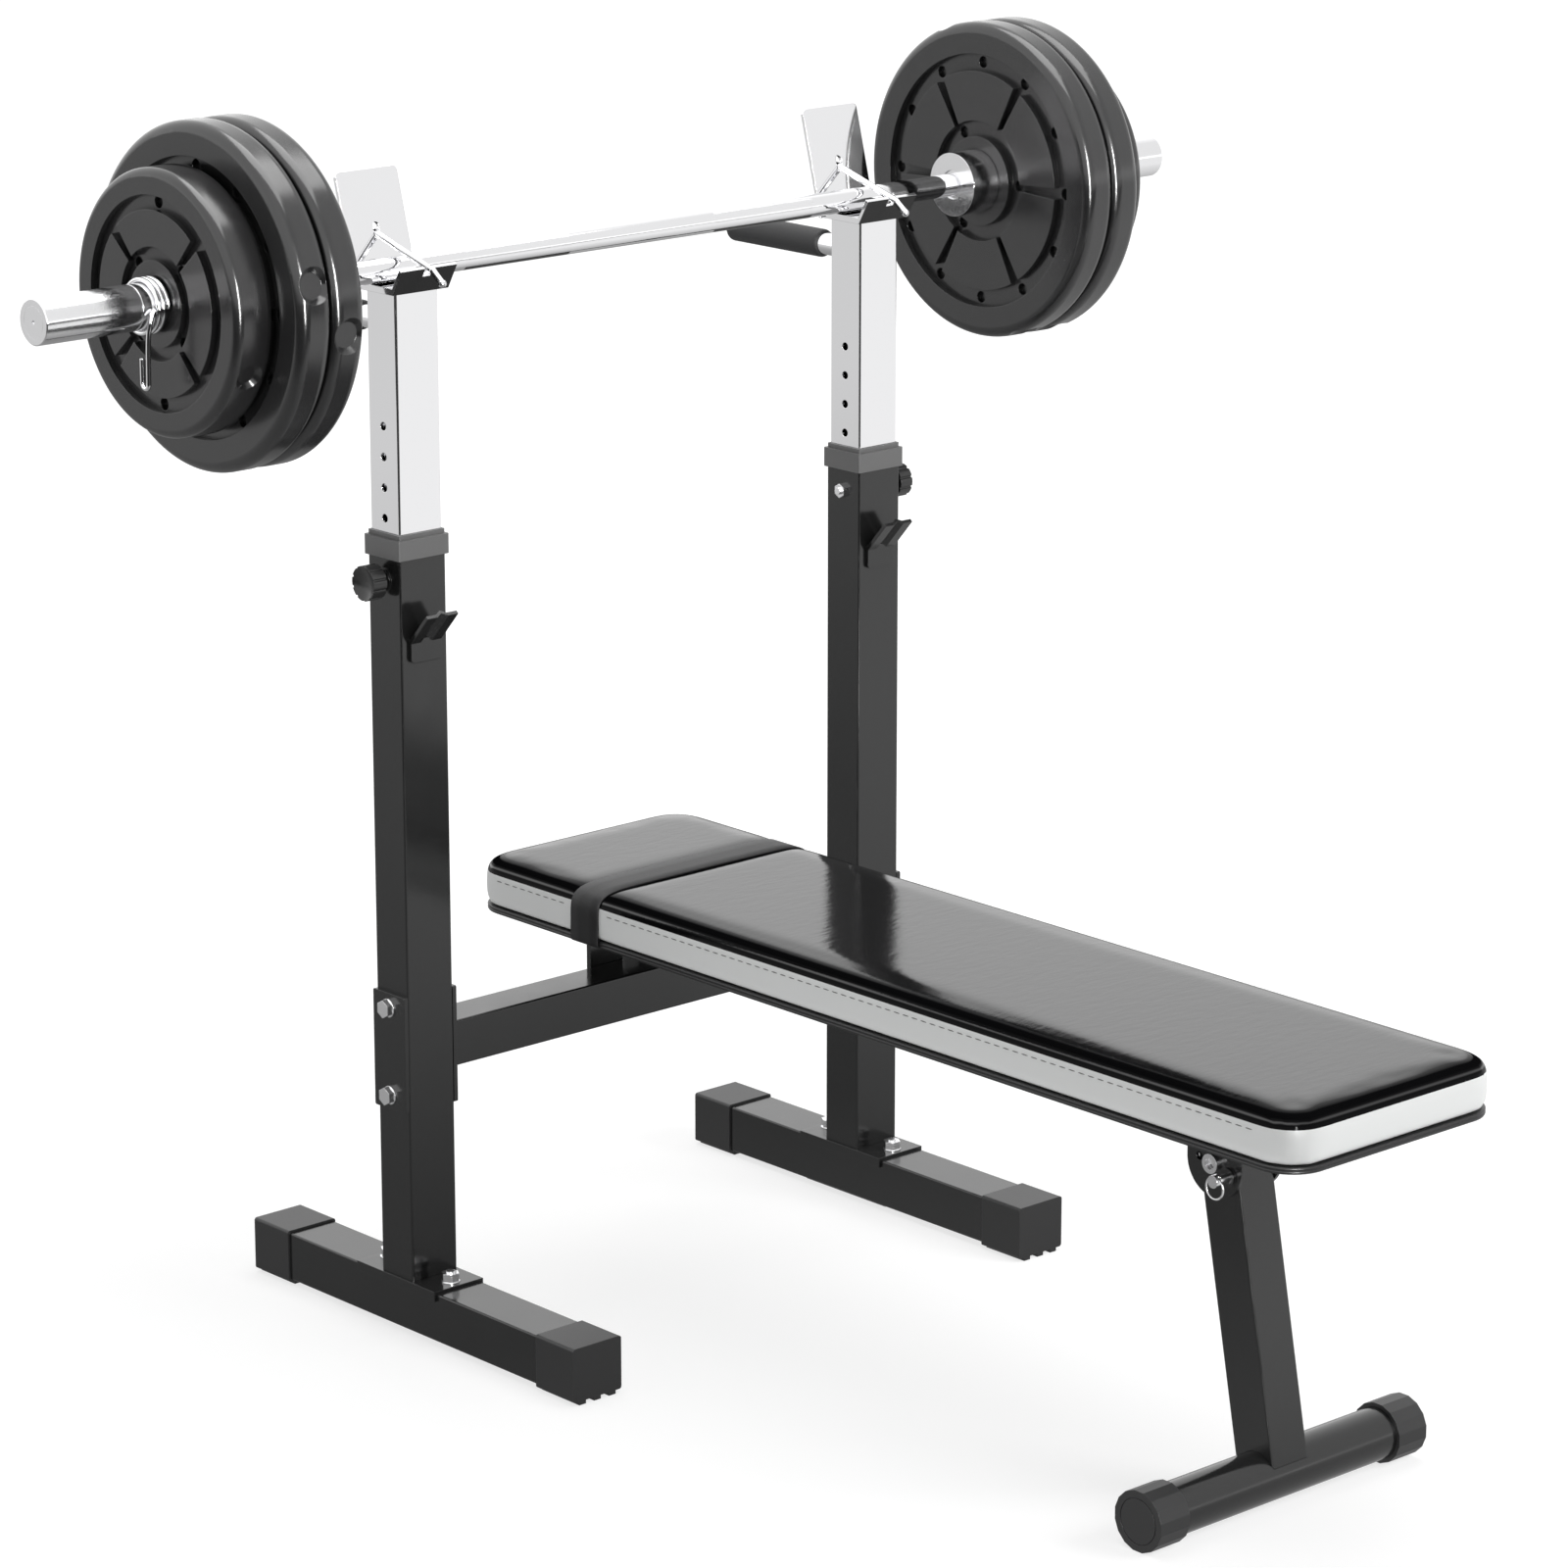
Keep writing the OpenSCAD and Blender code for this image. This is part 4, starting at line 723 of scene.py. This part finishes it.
def make_clip(side, finish):
    """Spring clip: a wire wound round the sleeve, then led down into a narrow loop."""
    low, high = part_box(f"{side}_clip")
    shaft_low, shaft_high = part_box("bar_shaft")
    axis_y, axis_z = (shaft_low.y + shaft_high.y) / 2, (shaft_low.z + shaft_high.z) / 2
    out = -1 if side == "left" else 1
    start_x = low.x if out > 0 else -high.x
    thick, pitch, turns, loop, loop_rise = 5 * MM, 5.8 * MM, 3, 10 * MM, 24 * MM
    coil_r = SLEEVE_R + 0.6 * MM + thick / 2
    t = np.linspace(0, turns, turns * 40 + 1)
    angle = np.pi - 2 * np.pi * t
    coil = np.stack([start_x + thick / 2 + pitch * t, coil_r * np.cos(angle), coil_r * np.sin(angle)], 1)
    handle_x = coil[-1, 0] + thick
    loop_x, loop_y = handle_x + 1 * MM, -coil_r + 4 * MM
    loop_z = low.z - axis_z + thick / 2 + loop / 2
    bend = np.radians(np.linspace(180, 360, 13))
    led_down = [
        [handle_x - 2 * MM, -coil_r, -0.2 * coil_r],
        [handle_x, -coil_r, -0.5 * coil_r],
        [loop_x, -coil_r + 3 * MM, -coil_r],
    ]
    round_loop = np.stack([
        np.full(len(bend), loop_x),
        loop_y + loop / 2 * (1 + np.cos(bend)),
        loop_z + loop / 2 * np.sin(bend),
    ], 1)
    handle = np.vstack([coil[-2:], led_down, round_loop, [[loop_x, loop_y + loop, loop_z + loop_rise]]])
    path = np.vstack([coil[:-2], eased_path(handle, rounds=3)])
    path = path * np.array([out, 1, 1]) + np.array([0, axis_y, axis_z])
    clip = wire(f"{side}_spring_wire", path, thick / 2, finish, sides=14, lead=(1, 0, 0))
    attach(clip, f"{side}_spring_clip")
    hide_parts(f"{side}_clip")


# Finishes of the solid pieces

paint = paint_finish()
matt_plastic = plastic_finish("black_plastic", PLASTIC_BLACK, 0.42)
knob_plastic = plastic_finish("knob_plastic", KNOB_BLACK, 0.22)
grey_plastic = plastic_finish("grey_plastic", COLLAR_GREY, 0.45)
zinc = metal_finish("zinc", CHROME_WHITE, 0.2)
rod_steel = metal_finish("rod_steel", ROD_GREY, 0.12)
chrome = chrome_finish("chrome")
cradle_chrome = cradle_finish()
rubber = rubber_finish()
board = plastic_finish("board", BOARD_BLACK, 0.35)
foam = foam_finish()
sleeve_chrome = sleeve_finish()
shaft_chrome = shaft_finish(grip_from=0.10, grip_to=0.24)

PIECES_OF_FINISH = {
    paint: (
        "left_foot_tube", "right_foot_tube", "left_saddle", "right_saddle", "clamp_plates",
        "left_upright", "right_upright", "left_hook", "right_hook", "cross_tube", "flange_plates",
        "bench_rail", "leg_bracket", "leg_tube", "leg_foot",
    ),
    matt_plastic: ("foot_caps", "leg_foot_caps"),
    knob_plastic: ("left_knob", "right_knob"),
    grey_plastic: ("left_collar", "right_collar"),
    zinc: (
        "foot_bolts", "guide_screws", "flange_bolts", "hinge_bolt", "left_pin", "right_pin", "pad_screws",
        "leg_pivot_bolt", "leg_pin", "leg_pin_ring", "shaft_rings", "left_bushes", "right_bushes",
    ),
    chrome: ("left_post", "right_post", "left_dip_bar", "right_dip_bar", "left_clip", "right_clip"),
    rod_steel: ("left_latch", "right_latch"),
    cradle_chrome: ("left_cradle", "right_cradle"),
    sleeve_chrome: ("left_sleeve", "right_sleeve", "left_sleeve_cap", "right_sleeve_cap"),
    shaft_chrome: ("bar_shaft",),
    rubber: (
        "left_inner_plate", "left_outer_plate", "left_small_plate",
        "right_inner_plate", "right_outer_plate", "right_small_plate",
    ),
    board: ("pad_board", "pad_cushion", "pad_strap"),
    foam: ("left_grip", "right_grip"),
}
for finish, names in PIECES_OF_FINISH.items():
    for name in names:
        nodes[name].data.materials.clear()
        nodes[name].data.materials.append(finish)

make_pad()
for side in SIDES:
    make_grip(side, foam)
    make_clip(side, chrome)


# Floor, light and camera

FRONT_RIGHT = (0.67, -0.74, 0)
FRONT_LEFT = (-0.67, -0.74, 0)

# What mirrors see of the floor, by how far it lies to the front right, in metres
MIRRORED_FLOOR = (
    (-5.0, 0.68), (-4.2, 0.64), (-3.2, 0.5), (-0.5, 0.26),
    (0.3, 0.5), (1.0, 0.75), (2.2, 0.96), (5.0, 0.96),
)


def make_floor():
    """A wide white floor that keeps soft shadows; mirrors see it bright on the right, dark by the viewer."""
    finish = bpy.data.materials.new("floor")
    finish.use_nodes = True
    tree = finish.node_tree
    tree.nodes.remove(tree.nodes["Principled BSDF"])
    floor_grey, near, far, near_glow, far_glow = 0.3, 0.8, 3.0, 0.755, 1.0
    lit = tree.nodes.new("ShaderNodeBsdfDiffuse")
    lit.inputs["Color"].default_value = (floor_grey, floor_grey, floor_grey, 1)
    away = tree.nodes.new("ShaderNodeVectorMath")
    away.operation = "LENGTH"
    tree.links.new(piece_coords(tree), away.inputs["Vector"])
    glow = tree.nodes.new("ShaderNodeEmission")
    glow_level = spread(tree, away.outputs["Value"], near, far, near_glow, far_glow)
    tree.links.new(glow_level, glow.inputs["Strength"])
    seen = tree.nodes.new("ShaderNodeAddShader")
    tree.links.new(lit.outputs["BSDF"], seen.inputs[0])
    tree.links.new(glow.outputs["Emission"], seen.inputs[1])
    to_front_right = along(tree, piece_coords(tree), FRONT_RIGHT)
    to_viewer = along(tree, piece_coords(tree), FRONT_LEFT)
    mirrored = tree.nodes.new("ShaderNodeEmission")
    tree.links.new(line_through(tree, to_front_right, MIRRORED_FLOOR), mirrored.inputs["Color"])
    tree.links.new(spread(tree, to_viewer, 1.3, 2.1, 1.0, 0.06), mirrored.inputs["Strength"])
    path = tree.nodes.new("ShaderNodeLightPath")
    choose = tree.nodes.new("ShaderNodeMixShader")
    tree.links.new(path.outputs["Is Glossy Ray"], choose.inputs["Fac"])
    tree.links.new(seen.outputs["Shader"], choose.inputs[1])
    tree.links.new(mirrored.outputs["Emission"], choose.inputs[2])
    tree.links.new(choose.outputs["Shader"], tree.nodes["Material Output"].inputs["Surface"])
    half = 30.0
    corners = [(-half, -half, 0), (half, -half, 0), (half, half, 0), (-half, half, 0)]
    floor = piece("floor", corners, [[0, 1, 2, 3]], finish, smooth=False)


def soft_light(name, place, size, power, lights=True, mirrored=True):
    """A soft light of a width and a height that faces the object, with or without lighting it or mirrors."""
    light = bpy.data.lights.new(name, "AREA")
    light.shape = "RECTANGLE"
    light.size, light.size_y = size
    light.energy = power
    lamp = bpy.data.objects.new(name, light)
    lamp.visible_diffuse = lights
    lamp.visible_glossy = mirrored
    lamp.location = place
    middle = Vector((0, 0.1, 0.6))
    lamp.rotation_euler = (middle - Vector(place)).to_track_quat("-Z", "Y").to_euler()
    scene.collection.objects.link(lamp)


def make_surroundings():
    """White surroundings, with one strength for the picture, one for mirrors and one for lighting."""
    world = bpy.data.worlds.new("studio")
    scene.world = world
    world.use_nodes = True
    tree = world.node_tree
    seen, lighting = 1.0, 0.3
    mirrored_behind, mirrored_before, low_strip = 1.42, 0.93, 0.7
    direction = tree.nodes.new("ShaderNodeTexCoord").outputs["Generated"]
    before = along(tree, direction, FRONT_RIGHT)
    mirrored = spread(tree, before, 0.0, 0.5, mirrored_behind - lighting, mirrored_before - lighting)
    low = spread(tree, part_of(tree, direction, "Z"), 0.04, 0.1, low_strip, 0)
    low_front = math_node(tree, "MULTIPLY", spread(tree, before, 0.4, 0.8, 0, 1), low)
    mirrored = math_node(tree, "ADD", mirrored, low_front)
    path = tree.nodes.new("ShaderNodeLightPath")
    for_picture = math_node(tree, "MULTIPLY", path.outputs["Is Camera Ray"], seen - lighting)
    for_mirrors = math_node(tree, "MULTIPLY", path.outputs["Is Glossy Ray"], mirrored)
    added = math_node(tree, "ADD", for_picture, for_mirrors)
    background = tree.nodes["Background"]
    background.inputs["Color"].default_value = (1, 1, 1, 1)
    tree.links.new(math_node(tree, "ADD", added, lighting), background.inputs["Strength"])


def make_camera():
    """The camera of the photo: a long lens from the left front, a little above."""
    data = bpy.data.cameras.new("camera")
    data.lens = 129.28
    data.sensor_width = 36
    turn, fall = math.radians(42.072), math.radians(15.338)
    ahead = Vector((math.sin(turn) * math.cos(fall), math.cos(turn) * math.cos(fall), -math.sin(fall)))
    camera = bpy.data.objects.new("camera", data)
    camera.location = (-3.8160, -4.0297, 2.1475)
    camera.rotation_euler = ahead.to_track_quat("-Z", "Y").to_euler()
    scene.collection.objects.link(camera)
    scene.camera = camera


make_floor()
make_surroundings()
soft_light("front_light", place=(2.6, -4.0, 3.4), size=(2.6, 2.6), power=185, mirrored=False)
soft_light("top_light", place=(0.3, 0.3, 4.6), size=(3.5, 3.5), power=140)
soft_light("edge_light", place=(-2.0, -3.9, 1.5), size=(0.5, 2.4), power=300, lights=False)
make_camera()
scene.view_settings.view_transform = "Standard"
